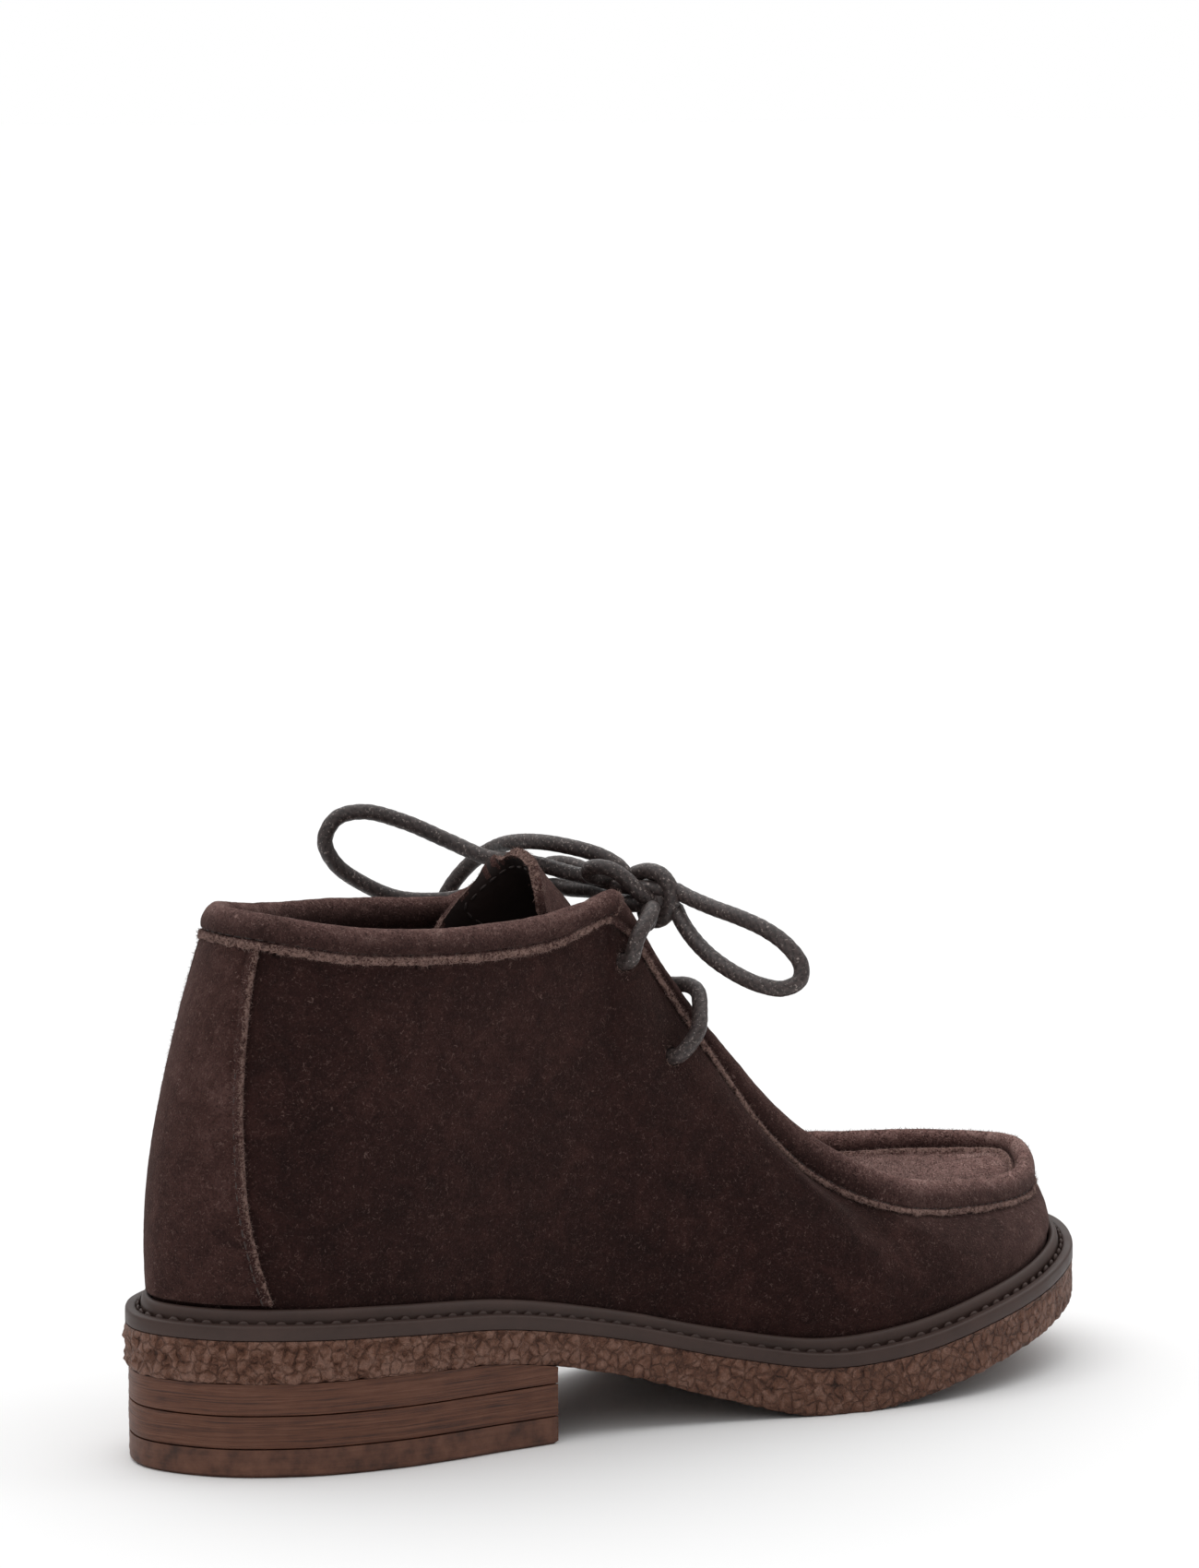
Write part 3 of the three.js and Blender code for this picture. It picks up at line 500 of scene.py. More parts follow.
def turnedTo(direction):
    return Vector(direction).to_track_quat("-Z", "Y").to_euler()


camera = placed("camera", bpy.data.cameras.new("camera"))
camera.data.lens = view["lens"]
camera.data.sensor_width = view["sensor"]
camera.data.clip_end = view["clip"]
camera.location = view["place"]
camera.rotation_euler = turnedTo(view["towards"])
bpy.context.scene.camera = camera

world = bpy.data.worlds.new("studio")
world.use_nodes = True
# the backdrop looks white, and lights the boot less than it looks
ray = addNode(world.node_tree, "ShaderNodeLightPath")
glow = addNode(world.node_tree, "ShaderNodeMapRange", {
    "Value": ray.outputs["Is Camera Ray"], "To Min": studio["fill"], "To Max": studio["seen"]})
background = world.node_tree.nodes["Background"]
background.inputs["Color"].default_value = colour("#ffffff")
world.node_tree.links.new(glow.outputs[0], background.inputs["Strength"])
bpy.context.scene.world = world
# one wide soft source above lights the floor evenly as far as it goes
overhead = placed("overheadLight", bpy.data.lights.new("overheadLight", "SUN"))
overhead.data.energy, overhead.data.angle = studio["overhead"], math.radians(studio["overheadAngle"])
overhead.rotation_euler = turnedTo(-Vector(studio["overheadSide"]))
for name, spot, size, power in studio["lamps"]:
    lamp = placed(name, bpy.data.lights.new(name, "AREA"))
    lamp.data.shape, lamp.data.size, lamp.data.energy = "DISK", size, power
    lamp.location = spot
    lamp.rotation_euler = turnedTo(Vector(studio["aim"]) - Vector(spot))
bpy.context.scene.view_settings.view_transform = "Standard"

finish = Finish("paintedFloor", **{
    "Base Color": colour(studio["floor"]), "Roughness": 0.9, "Specular IOR Level": 0.1})
floorMesh = bpy.data.meshes.new("floor")
reach = studio["floorReach"]
floorMesh.from_pydata([(-reach, -reach, 0), (reach, -reach, 0), (reach, reach, 0), (-reach, reach, 0)], [],
                      [(0, 1, 2, 3)])
floorMesh.materials.append(finish.material)
placed("floor", floorMesh)

# Lace

lace = {"step": 0.45, "sides": 20, "braidPitch": 2.6, "braidStrands": 6, "braidDepth": 0.05,
        "over": 0.3, "under": 4.1, "tip": 9, "tipShare": 0.88, "domes": (35, 65)}


def throatPoint(row, side, depth, reach=0.0):
    # a row of the crest, sideways from its middle and in from it, or beyond it up the throat
    middle, above, below = (crestAt(r) * [1, 0, 1] for r in (row, row - 0.1, row + 0.1))
    along = unit(above - below)
    inward = np.array([-along[2], 0, along[0]])
    return middle + along * reach + inward * depth + [0, side, 0]


def samplePath(points, step):
    # even steps along a smooth line through points
    curve = openCurve(points)
    dense = curve(np.linspace(0, len(points) - 1, 60 * len(points)))
    length = np.concatenate([[0], np.cumsum(np.linalg.norm(np.diff(dense, axis=0), axis=1))])
    count = max(2, int(round(length[-1] / step)) + 1)
    even = np.linspace(0, length[-1], count)
    return np.stack([np.interp(even, length, dense[:, k]) for k in range(3)], axis=-1)


def layTube(skin, path, radius, sides, tip=0.0):
    # a round cord with a braided face, closed by domes at both ends
    along = unit(np.gradient(path, axis=0))
    side = np.cross(along[0], [0.3, 0.2, 0.9])
    sideways = []
    for direction in along:
        side = unit(side - direction * np.dot(side, direction))
        sideways.append(side)
    sideways = np.array(sideways)
    across = np.cross(along, sideways)
    distance = np.concatenate([[0], np.cumsum(np.linalg.norm(np.diff(path, axis=0), axis=1))])
    angle = np.arange(sides) / sides * 2 * np.pi
    lengthwise = distance[:, None] / lace["braidPitch"] * 2 * np.pi
    half = lace["braidStrands"] / 2
    weave = np.abs(np.sin(lengthwise / 2 + angle * half) * np.sin(lengthwise / 2 - angle * half)) ** 0.5
    size = radius * (1 - lace["braidDepth"] * (1 - weave))
    if tip:
        size = size * np.where(distance[:, None] > distance[-1] - tip, lace["tipShare"], 1)
    ring = path[:, None] + size[..., None] * (
        np.cos(angle)[:, None] * sideways[:, None] + np.sin(angle)[:, None] * across[:, None])
    rings = skin.add(ring, braid=weave)
    for a, b in zip(rings[:-1], rings[1:]):
        skin.strip(np.append(a, a[0]), np.append(b, b[0]))
    for end, sign in ((0, -1), (-1, 1)):
        last = rings[end]
        for turn in lace["domes"]:
            c, s = math.cos(math.radians(turn)), math.sin(math.radians(turn))
            dome = path[end] + (ring[end] - path[end]) * c + along[end] * sign * s * radius
            ringMade = skin.add(dome, braid=0.5)
            a, b = (last, ringMade) if sign > 0 else (ringMade, last)
            skin.strip(np.append(a, a[0]), np.append(b, b[0]))
            last = ringMade
        pole = skin.add(path[end] + along[end] * sign * radius, braid=0.5)
        for k in range(sides):
            a, b = int(last[k]), int(last[(k + 1) % sides])
            skin.face((a, b, int(pole)) if sign > 0 else (b, a, int(pole)))


eyeletPlaces = ((5.3, 0.906), (5.9, 0.746))


def eyelet(place, sign):
    row, share = place
    row = row if sign < 0 else loopRows - row
    clear = boot["laceRadius"] + boot["laceRoom"]
    inside, middle, outside = (wallPoint(row, share, offset)[0]
                               for offset in (-boot["wall"] - clear, -boot["wall"] / 2, clear))
    return [inside, middle, outside], wallPoint(row, share)[1]


# Row of the crest, place sideways and depth inwards, from the bar under the lower eyelets to the upper ones
lacingRows = (
    (6.62, -.5, 3.1), (6.62, 5.5, 3.6), (6.64, 12, 7), (6.67, 16.8, 10.7), "lower", (6.6, 27.5, 6.5),
    (6.52, 24.2, 1.2), (6.45, 20.8, -2.3), (6.4, 17.3, -2.8), (6.33, 13, -.6), (6.25, 7, 2.2),
    (6.12, 0, 3.1), (5.98, -6.5, 4.6), (5.82, -12, 7.5), (5.68, -15.6, 10.4), "upper")


def lacingPath(sign, ending, crossing):
    points = []
    for place in lacingRows:
        if place == "lower":
            points += eyelet(eyeletPlaces[1], sign)[0]
        elif place == "upper":
            points += eyelet(eyeletPlaces[0], -sign)[0]
        else:
            row, side, depth = place
            depth = crossing if side == 0 else depth
            points.append(throatPoint(row, sign * side, depth))
    return points + ending


knotCentre = np.array([130.5, -13.5, 121])
knotAxis = unit(np.array([0.42, -0.9, 0]))
knotForward = unit(np.array([0.9, 0.42, 0]))
# the upright plane in which the knot faces the side of the boot
viewAcross = np.array([0.83, -0.558, 0])
viewDepth = np.array([0.558, 0.83, 0])


def knotPoint(along, forward, rise):
    return knotCentre + knotAxis * along + knotForward * forward + up * rise


def knotView(across, rise, depth):
    return knotCentre + viewAcross * across + up * rise + viewDepth * depth


outerLead = [throatPoint(5.45, -26, 6), throatPoint(5.4, -24.2, 0), throatPoint(5.42, -21.4, -3.2),
             knotPoint(3, -6.8, -5.4)]
innerLead = [throatPoint(5.45, 26, 6), throatPoint(5.4, 24, 0.5), throatPoint(5.38, 20, -2.8),
             throatPoint(5.4, 13, -3.6), throatPoint(5.4, 3, -4.4), knotPoint(-7.7, -2.2, -2.2)]

skin = Skin()
for sign, ending, crossing in ((-1, innerLead, lace["over"]), (1, outerLead, lace["under"])):
    path = samplePath(lacingPath(sign, ending, crossing), lace["step"])
    layTube(skin, path, boot["laceRadius"], lace["sides"])
laceCrossing = skin.made("lacing", [laceCotton])
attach(laceCrossing, "root")
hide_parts("lace_crossing")

knotStrands = (
    [knotView(*p) for p in (
        (-3.8, 5, 2.2), (-1, 5.9, .4), (2.2, 5.3, -2.4), (4.4, 2.4, -4.2), (4.6, -1.2, -4.4),
        (3.2, -4.2, -3.2), (1, -5.6, -1), (-1.2, -5, 1.4), (-1.6, -2.6, 3.4), (-.6, 1, 4.4), (1, 4, 3.6))],
    [knotView(*p) for p in (
        (2.4, -3.4, -1.4), (0, -1.2, -3), (-3, 1.6, -4.2), (-6, 4.6, -4.4), (-9, 6.6, -4), (-12, 7.2, -2.8),
        (-14.3, 6.6, -.8), (-14.5, 5, 1.2), (-12.5, 3.9, 2.6), (-9, 3.8, 3.2), (-5, 3, 3.2), (0, 1, 2.2))],
    *([knotPoint(*p) for p in strand] for strand in (
        ((-7.7, -2.2, 2.2), (-4, -1.9, 2.1), (0, -1.2, 1.9), (4, -.3, 1.8), (6.7, 0, 1.8)),
        ((-7.7, 2.2, -2.2), (-4, 1.9, -2.1), (0, 1.2, -2.2), (4, .3, -2.5), (6.7, 0, -2.7)),
        ((-7.7, 2.2, 2.2), (-4, 2.1, 2.1), (0, 1.9, 1.2), (3, 1.2, 0)),
        ((-7.7, -2.2, -2.2), (-4, -2.2, -2), (0, -1.9, -1.6), (3, -1.4, -1)),
        ((3, -6.8, -5.4), (2.4, -5.8, -3.8), (2, -4, -2.4), (2, -2, -1)))),
)
skin = Skin()
for strand in knotStrands:
    layTube(skin, samplePath(strand, lace["step"]), boot["laceRadius"], lace["sides"])
laceKnot = skin.made("laceKnot", [laceCotton])
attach(laceKnot, "root")
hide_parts("lace_knot")

freeLaces = (
    ("laceLoopOuter", "lace_loop_outer", "knot", [
        knotPoint(6.7, 0, 1.8), (134.4, -22.5, 121.6), (136.2, -30, 119.8), (138.1, -38, 118.3),
        (140.6, -45, 116.1), (143, -50, 112.9), (144.9, -53, 108.5), (143.7, -54, 105.1), (140.6, -52, 103.3),
        (137.5, -48, 103.8), (135.3, -42, 105.5), (133.4, -34, 108.8), (133, -27, 112.4),
        (132.9, -22.5, 115.8), knotPoint(6.7, 0, -2.7)]),
    ("laceLoopInner", "lace_loop_inner", "knot", [
        knotPoint(-7.7, -2.2, 2.2), (124.3, -2.5, 123.9), (121.5, 8, 124.8), (118, 14.5, 126.2),
        (114, 20.5, 126.9), (110.3, 26, 127.3), (104.5, 34, 130.8), (96.2, 40, 135.2), (87.4, 44, 137.8),
        (81.7, 47, 136.3), (79.1, 48, 131.1), (81.3, 47, 125.6), (88, 45, 120.4), (95.5, 42, 116.9),
        (102.9, 37, 116.3), (108.5, 32.5, 117.3), (115, 29.5, 119.2), (121.5, 25.5, 122.6),
        (125.5, 19.5, 125.4), (128.6, 12, 124.6), (130.2, 4, 121.6),
        (130.4, -2.5, 119.4), knotPoint(-7.7, 2.2, -2.2)]),
    ("laceEnd", "lace_end", "bare", [
        knotPoint(-7.7, 2.2, 2.2), (128.9, -3.6, 126.2), (125.8, .5, 129.2), (118, 8, 131.8),
        (114.9, 19, 131.4), (115.2, 31, 128.4), (113.1, 38, 123.9), (109.9, 42, 117.6), (107.5, 44.5, 109),
        (105.5, 44.5, 99), (104.4, 43, 91)]),
)
for name, nodeName, ending, points in freeLaces:
    path = samplePath(points, lace["step"])
    skin = Skin()
    layTube(skin, path, boot["laceRadius"], lace["sides"], tip=lace["tip"] if ending == "bare" else 0)
    piece = skin.made(name, [laceCotton])
    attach(piece, "root")
    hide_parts(nodeName)
print("laces laid")

# Upper: wall, rolled collar, ridge and apron in one skin, with places in rows and sizes in millimetres

upperValues = {
    "perRow": 36, "wallSteps": 34, "innerSteps": 8, "rollSteps": 20, "apronSteps": 10,
    # the strip's raw edge, wide round the collar and narrow along the throat and ridge, and its groove
    "collarFlange": 1.75, "ridgeFlange": 1.05, "cornerRow": 5.2, "cornerGap": 0.14,
    "grooveOut": 0.2, "grooveAbove": 1.25, "fray": 0.42,
    # where the strip climbs over the back panel, and where its binding ends
    "panelLift": 0.95, "panelEnd": 1.05, "bindingEnd": 5.1, "bindingFades": 6, "binding": 0.7,
    # how far the roll turns down, in degrees, at the collar and over the apron
    "openTurn": -125, "closedTurn": -115,
    # lumps as height, size and seed
    "wallLumps": ((0.22, 24, 0), (0.06, 1.7, 7)), "rollLumps": ((0.12, 6, 2), (0.09, 1.5, 5)),
    "apronLumps": ((0.15, 14, 4), (0.04, 1.6, 6)), "ragged": ((1, 1, 0), (0.8, 2.8, 9)),
    "raggedOut": ((1, 1.6, 3),), "apronRagged": ((0.22, 1.3, 8),), "eyeletCover": 0.3,
    # how brushed the nap is, together with the light painted on the tops, from 0 to 1, and the middle line's
    # length as a share of the apron's
    "toeWearAndPaintedLight": 0.28, "stripWear": 0.35, "apronWearAndPaintedLight": 0.95, "apronMiddle": 0.9,
}
# The brushed nap is palest round the apron, where light is painted on its top, and darkest along the throat,
# where shade is painted
brushAndPaintedLightTable = {"away": (0, 5, 5.6, 7.8, 9.3), "wear": (0.55, 0.55, 0.3, 0.32, 0.95)}
# The soft padding sinks a little along the collar, most just before its front corners
sinkTable = {
    "away": (0, 2, 3, 3.5, 4, 4.2, 4.4, 4.6, 4.8, 5),
    "outer": (.6, .9, 1.1, .9, .9, 1.2, 2, 2.7, 1.7, 0),
    "inner": (.6, .3, .1, .7, 2, 3, 2.6, 1.6, .6, 0),
}
# Soft troughs of the wall: row, share of the wall, length in rows, width in shares, turn, depth
creases = (
    (6.9, .62, .55, .07, .5, .55), (7.5, .5, .6, .07, .6, .5), (8.2, .55, .5, .06, .4, .35),
    (3.9, .78, 1.0, .08, -.1, .35), (2.2, .42, .8, .1, .15, .3), (5.1, .45, .7, .09, -.3, .3),
    (17.1, .62, .55, .07, -.5, .5), (16.4, .5, .6, .07, -.6, .45), (20.2, .75, 1.0, .08, .1, .35),
)
creaseValues = {"rowsPerShare": 8, "ridge": 0.45, "ridgeAside": 1.7, "fade": 12}


def wallOffset(row, share, points):
    offset = lumpy(points, upperValues["wallLumps"])
    scale = creaseValues["rowsPerShare"]
    for atRow, atShare, length, width, turn, depth in creases:
        dRow, dShare = row - atRow, (share - atShare) * scale
        along = dRow * math.cos(turn) + dShare * math.sin(turn)
        across = (-dRow * math.sin(turn) + dShare * math.cos(turn)) / scale
        # a trough with a soft ridge beside it
        aside = across - creaseValues["ridgeAside"] * width
        trough = np.exp(-(along / length) ** 2 - (across / width) ** 2)
        ridge = creaseValues["ridge"] * np.exp(-(along / length) ** 2 - (aside / width) ** 2)
        offset = offset - depth * trough + depth * ridge
    return offset * np.clip(share * creaseValues["fade"], 0, 1)


def overPanel(away):
    return np.clip((upperValues["panelEnd"] - away) * 5, 0, 1) * upperValues["panelLift"]


perRow = upperValues["perRow"]
stations = loopRows * perRow
rows = np.arange(stations) / perRow
away = np.minimum(rows, loopRows - rows)
closed = np.abs(lastRow - rows) <= lastRow - throatRow
foot, crest, down, out = crestFrame(rows)
roll = wallFormAt(rows)[:, 2]
halfHeight = roll * boot["rollHeight"] / 2
halfThickness = boot["rollThickness"] / 2 * (0.4 + 0.6 * roll)
onPanel = overPanel(away)
sink = np.where(rows < lastRow, np.interp(away, sinkTable["away"], sinkTable["outer"]),
                np.interp(away, sinkTable["away"], sinkTable["inner"]))


def rollPlace(drop, stand):
    # the top sinks and the seam stays
    drop = np.asarray(drop)
    drop = drop + sink * np.clip(1 - drop / (2 * halfHeight), 0, 1)
    return crest + down * drop[..., None] + out * np.asarray(stand)[..., None]


def rollTurn(angle):
    # how far a place on the roll's round section lies down and out
    drop = halfHeight - np.cos(angle) * halfHeight
    return drop, boot["rollStand"] - halfThickness + np.sin(angle) * halfThickness


skin = Skin()
outer, inner = [], []
footInset = boot["weltWidth"] + boot["fitGap"]
for side, inset in ((outer, footInset), (inner, footInset + boot["wall"])):
    side.append(skin.add(lifted(planPoint(rows, inset), foot[:, 2] + boot["fitGap"])))
for j in range(upperValues["wallSteps"] + 1):
    share = np.full(stations, j / upperValues["wallSteps"])
    bare, normal = wallPoint(rows, share)
    # the wall's wear value rises towards the toe: part brushed nap, part light painted towards the toe
    outer.append(skin.add(bare + normal * wallOffset(rows, share, bare)[:, None],
                          wear=upperValues["toeWearAndPaintedLight"] * np.clip((away - 8.5) / 2, 0, 1)))
for j in range(upperValues["innerSteps"] + 1):
    share = np.full(stations, j / upperValues["innerSteps"])
    inner.append(skin.add(wallPoint(rows, share, -np.full(stations, boot["wall"]))[0]))

# The strip's raw lower edge stands over the wall, frayed, with a sewn groove above it.
# It stops at the collar's front corner.
onCollar = np.clip((upperValues["cornerRow"] - away) * 4, 0, 1)
flange = upperValues["ridgeFlange"] + (upperValues["collarFlange"] - upperValues["ridgeFlange"]) * onCollar
edgeShows = 1 - np.exp(-((away - upperValues["cornerRow"]) / upperValues["cornerGap"]) ** 2)
flangeProfile = (  # below the roll, below it in flanges, out from the wall, paleness of the cut, fray
    (0.1, 0, 0.15, 0.5, 0.5), (0.35, 0, 0.7, 1, 1), (0.15, 0, 1.05, 1, 1), (0, -0.3, 1.2, 1, 0.7),
    (0, -0.7, 1.15, 1, 0.5), (0, -1.0, 0.9, 0.8, 0.3),
    (0, -upperValues["grooveAbove"], upperValues["grooveOut"], 0.1, 0))
for drop, dropShare, stand, cut, frays in flangeProfile:
    standOut = stand * (0.25 + 0.75 * edgeShows) + onPanel * min(stand, 1)
    place = rollPlace(2 * halfHeight + drop + dropShare * flange, standOut)
    fray = upperValues["fray"] * frays
    ragged, raggedOut = (fray * lumpy(place, upperValues[kind])[:, None] for kind in ("ragged", "raggedOut"))
    place = place + down * ragged + out * raggedOut
    outer.append(skin.add(place, cutEdge=cut * edgeShows, wear=upperValues["stripWear"]))

# The collar's binding ends in a cut edge at the front corner, and the throat's edge is thinner beyond it
unbound = (np.clip((away - upperValues["bindingEnd"]) * 12, 0, 1)
           * np.clip((upperValues["bindingFades"] - away) / 0.8, 0, 1))
bindingCut = np.exp(-((away - upperValues["bindingEnd"] + 0.02) / 0.06) ** 2)
brushAndPaintedLight = np.interp(away, brushAndPaintedLightTable["away"], brushAndPaintedLightTable["wear"])
grooveFoot = halfHeight - upperValues["grooveAbove"] * flange - 0.25
startAngle = np.arccos(np.clip(-grooveFoot / halfHeight, -1, 1))
endAngle = np.radians(np.where(closed, upperValues["closedTurn"], upperValues["openTurn"]))
rollMiddle = rollPlace(halfHeight, boot["rollStand"] - halfThickness)
for k in range(upperValues["rollSteps"] + 1):
    angle = startAngle + (endAngle - startAngle) * k / upperValues["rollSteps"]
    drop, stand = rollTurn(angle)
    place = rollPlace(drop, stand + onPanel * np.clip(np.sin(angle), 0, 1) * np.clip(drop / 8, 0, 1))
    lumps = lumpy(place, upperValues["rollLumps"]) - upperValues["binding"] * unbound
    fromMiddle = unit(place - rollMiddle)
    # the wear value is highest on the roll's top and falls down its outer and inner faces: painted light on
    # top and painted shade below, over the brushed nap
    outer.append(skin.add(place + fromMiddle * lumps[:, None], cutEdge=bindingCut * (np.cos(angle) > -0.7),
                          wear=brushAndPaintedLight * (0.18 + 0.82 * np.clip(np.cos(angle) + 0.12, 0, 1))))
rollFoot = rollPlace(*rollTurn(endAngle))
rollEnd, wallEnd = len(outer), len(inner)
columns = [{"outer": [level[i] for level in outer], "inner": [level[i] for level in inner]}
           for i in range(stations)]

# Apron, from the foot of the ridge to a shared middle line, with the ridge's inner raw edge lying on it

apronAt = throatRow * perRow
throatX = rollFoot[apronAt][0]
apronProfile = (  # distance in from the ridge, rise, paleness of the cut
    (0.35, -0.25, 0), (0.6, 0.3, 1), (0.95, 1.15, 1), (1.5, 1.35, 1), (2.1, 1.15, 1), (2.35, 0.55, 1),
    (2.6, 0, 0), (3.4, 0, 0))
# the apron's high wear value paints light on its upward face, as well as the brushed nap
apronSteps, apronWearAndPaintedLight = upperValues["apronSteps"], upperValues["apronWearAndPaintedLight"]
for i in range(apronAt, stations // 2 + 1):
    pair = (i, (stations - i) % stations)
    edgeMiddle = (rollFoot[pair[0]] + rollFoot[pair[1]]) / 2
    height = (crest[pair[0]][2] + crest[pair[1]][2]) / 2 + crownAt(rows[i])[0] * boot["rollHeight"]
    middleX = throatX + (edgeMiddle[0] - throatX) * upperValues["apronMiddle"]
    middle = np.array([middleX, edgeMiddle[1], height])
    middleOut = int(skin.add(middle + up * 0.1 * noise.noise(Vector(middle / 9)), wear=apronWearAndPaintedLight))
    middleIn = int(skin.add(middle - up * boot["wall"]))
    for column in dict.fromkeys(pair):
        start = rollFoot[column]
        reach = np.linalg.norm(middle - start)
        steps = [(distance / reach, rise, cut) for distance, rise, cut in apronProfile]
        first = steps[-1][0]
        steps += [(first + (1 - first) * k / apronSteps, 0, 0) for k in range(1, apronSteps)]
        shares, raised, cuts = np.array(steps, float).T
        points = start + (middle - start) * shares[:, None]
        points[:, 2] += (middle[2] - start[2]) * (shares * (2 - shares) - shares)
        inside = points - up * boot["wall"]
        fray = cuts * lumpy(points, upperValues["apronRagged"])
        points[:, 2] += lumpy(points, upperValues["apronLumps"]) + fray + raised
        points[:, :2] += unit(middle - start)[:2] * fray[:, None] * 1.5
        columns[column]["inner"] += [int(skin.add(start - up * boot["wall"]))]
        columns[column]["outer"] += list(skin.add(points, cutEdge=cuts, wear=apronWearAndPaintedLight)) + [middleOut]
        # the lining starts at the last step of the profile and is four times as coarse
        columns[column]["inner"] += list(skin.add(inside[len(apronProfile) - 1::4])) + [middleIn]

suedeFace, liningFace = 0, 1
for i in range(stations):
    here, after = columns[i], columns[(i + 1) % stations]
    both = closed[i] and closed[(i + 1) % stations]
    outerTo = len(here["outer"]) if both else rollEnd
    innerTo = len(here["inner"]) if both else wallEnd
    skin.strip((here["outer"][0], here["inner"][0]), (after["outer"][0], after["inner"][0]), liningFace)
    skin.strip(after["outer"][:outerTo], here["outer"][:outerTo], suedeFace)
    skin.strip(here["inner"][:innerTo], after["inner"][:innerTo], liningFace)
    if not both:
        skin.strip((after["outer"][rollEnd - 1], after["inner"][wallEnd - 1]),
                   (here["outer"][rollEnd - 1], here["inner"][wallEnd - 1]), suedeFace)
for station, flip in ((apronAt, False), (stations - apronAt, True)):
    column = columns[station]
    top, below = column["outer"][rollEnd - 1:], column["inner"][wallEnd:]
    low = column["inner"][wallEnd - 1]
    # fan the finer top edge down to the coarser lower one
    i = j = 0
    while i < len(top) - 1 or j < len(below) - 1:
        behind = (i + 1) * (len(below) - 1) <= (j + 1) * (len(top) - 1)
        ahead = j == len(below) - 1 or (i < len(top) - 1 and behind)
        corners = (top[i], top[i + 1], below[j]) if ahead else (top[i], below[j + 1], below[j])
        skin.face(corners[::-1] if flip else corners, suedeFace)
        i, j = (i + 1, j) if ahead else (i, j + 1)
    skin.face((top[0], low, below[0]) if flip else (top[0], below[0], low), suedeFace)

upper = skin.made("suedeUpper", [quarterSuedePaintedShade, lining])
print("upper made:", len(upper.data.polygons), "faces")

# Punched eyelet holes, with the skin's values carried over from the nearest point
punchValues = {"sides": 24, "reach": 2 * boot["wall"],
               "radius": boot["eyeletRadius"] - upperValues["eyeletCover"]}
eyelets = [eyelet(place, sign) for place in eyeletPlaces for sign in (-1, 1)]
cutterSkin = Skin()
for (_, middle, _), axis in eyelets:
    side = unit(np.cross(axis, [0.1, 0.2, 1]))
    across = np.cross(axis, side)
    turn = np.arange(punchValues["sides"])[:, None] / punchValues["sides"] * 2 * np.pi
    circle = punchValues["radius"] * (np.cos(turn) * side + np.sin(turn) * across)
    low, high = (cutterSkin.add(middle + axis * reach + circle)
                 for reach in (-punchValues["reach"], punchValues["reach"]))
    cutterSkin.strip(np.append(low, low[0]), np.append(high, high[0]))
    cutterSkin.face(low[::-1])
    cutterSkin.face(high)
cutter = cutterSkin.made("eyeletPunch", [lining])
tree = kdtree.KDTree(len(upper.data.vertices))
for k, vertex in enumerate(upper.data.vertices):
    tree.insert(vertex.co, k)
tree.balance()
known = {name: np.array([d.value for d in upper.data.attributes[name].data])
         for name in ("wear", "cutEdge")}
punch = upper.modifiers.new("punch", "BOOLEAN")
punch.operation, punch.object, punch.solver = "DIFFERENCE", cutter, "MANIFOLD"
punched = bpy.data.meshes.new_from_object(upper.evaluated_get(bpy.context.evaluated_depsgraph_get()))
upper.modifiers.remove(punch)
upper.data = punched
bpy.data.objects.remove(cutter)
nearest = [tree.find(vertex.co)[1] for vertex in upper.data.vertices]
carried = {name: values[nearest] for name, values in known.items()}
corners = np.array([vertex.co for vertex in upper.data.vertices])
for (_, middle, _), axis in eyelets:
    reachOut = (corners - inFrame(middle)) / mm
    fromAxis = np.linalg.norm(reachOut - axis * (reachOut @ axis)[:, None], axis=1)
    onRim = (fromAxis < boot["eyeletRadius"]) & (np.abs(reachOut @ axis) < punchValues["reach"])
    carried["cutEdge"][onRim] = 1
for name, values in carried.items():
    if name not in upper.data.attributes:
        upper.data.attributes.new(name, "FLOAT", "POINT")
    upper.data.attributes[name].data.foreach_set("value", values)
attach(upper, "root")
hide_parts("upper")
print("eyelets punched:", len(upper.data.polygons), "faces")

# Back panel: lapped over the wall, with a sewn groove inside its raw front edges

panelValues = {"levels": 90, "middleSteps": 24, "stand": 1.6, "near": 0.05, "ragged": ((0.3, 1.2, 0),),
               "wear": 0.08}
panelTable = (  # share of the wall, reach in rows
    (.01, 1.67), (.07, 1.6), (.143, 1.51), (.286, 1.34), (.429, 1.21), (.571, 1.085), (.714, .99),
    (.857, .91), (.999, .88))
panelLine = openCurve([(share, reach, 0) for share, reach in panelTable])(
    np.linspace(0, len(panelTable) - 1, panelValues["levels"]))
panelProfile = (  # distance in from the edge, offset from the wall, paleness of the cut
    (0, .75, .8), (0, 1.3, 1), (.25, 1.6, 1), (.6, 1.72, .95), (1, 1.72, .8), (1.4, 1.65, .6),
    (1.9, 1.55, .35), (2.4, 1.2, .2), (2.8, 1.2, .15), (3.3, 1.5, .05), (4.2, 1.6, 0), (6, 1.6, 0),
    (9, 1.6, 0))
skin = Skin()
lines = []
for share, reach, _ in panelLine:
    edgePoint = wallPoint(np.array([reach, reach - panelValues["near"]]), np.array([share, share]))[0]
    rowsPerMm = panelValues["near"] / np.linalg.norm(edgePoint[0] - edgePoint[1])
    inRows = [(reach - distance * rowsPerMm, offset, cut) for distance, offset, cut in panelProfile]
    middleFrom, count = inRows[-1][0], panelValues["middleSteps"]
    middleRows = [(middleFrom * (1 - 2 * k / count), panelValues["stand"], 0) for k in range(1, count)]
    lines.append([(-row, offset, cut) for row, offset, cut in inRows + middleRows] + inRows[::-1])
placeRow, placeOffset, placeCut = np.moveaxis(np.array(lines), -1, 0)
placeRow = placeRow % loopRows
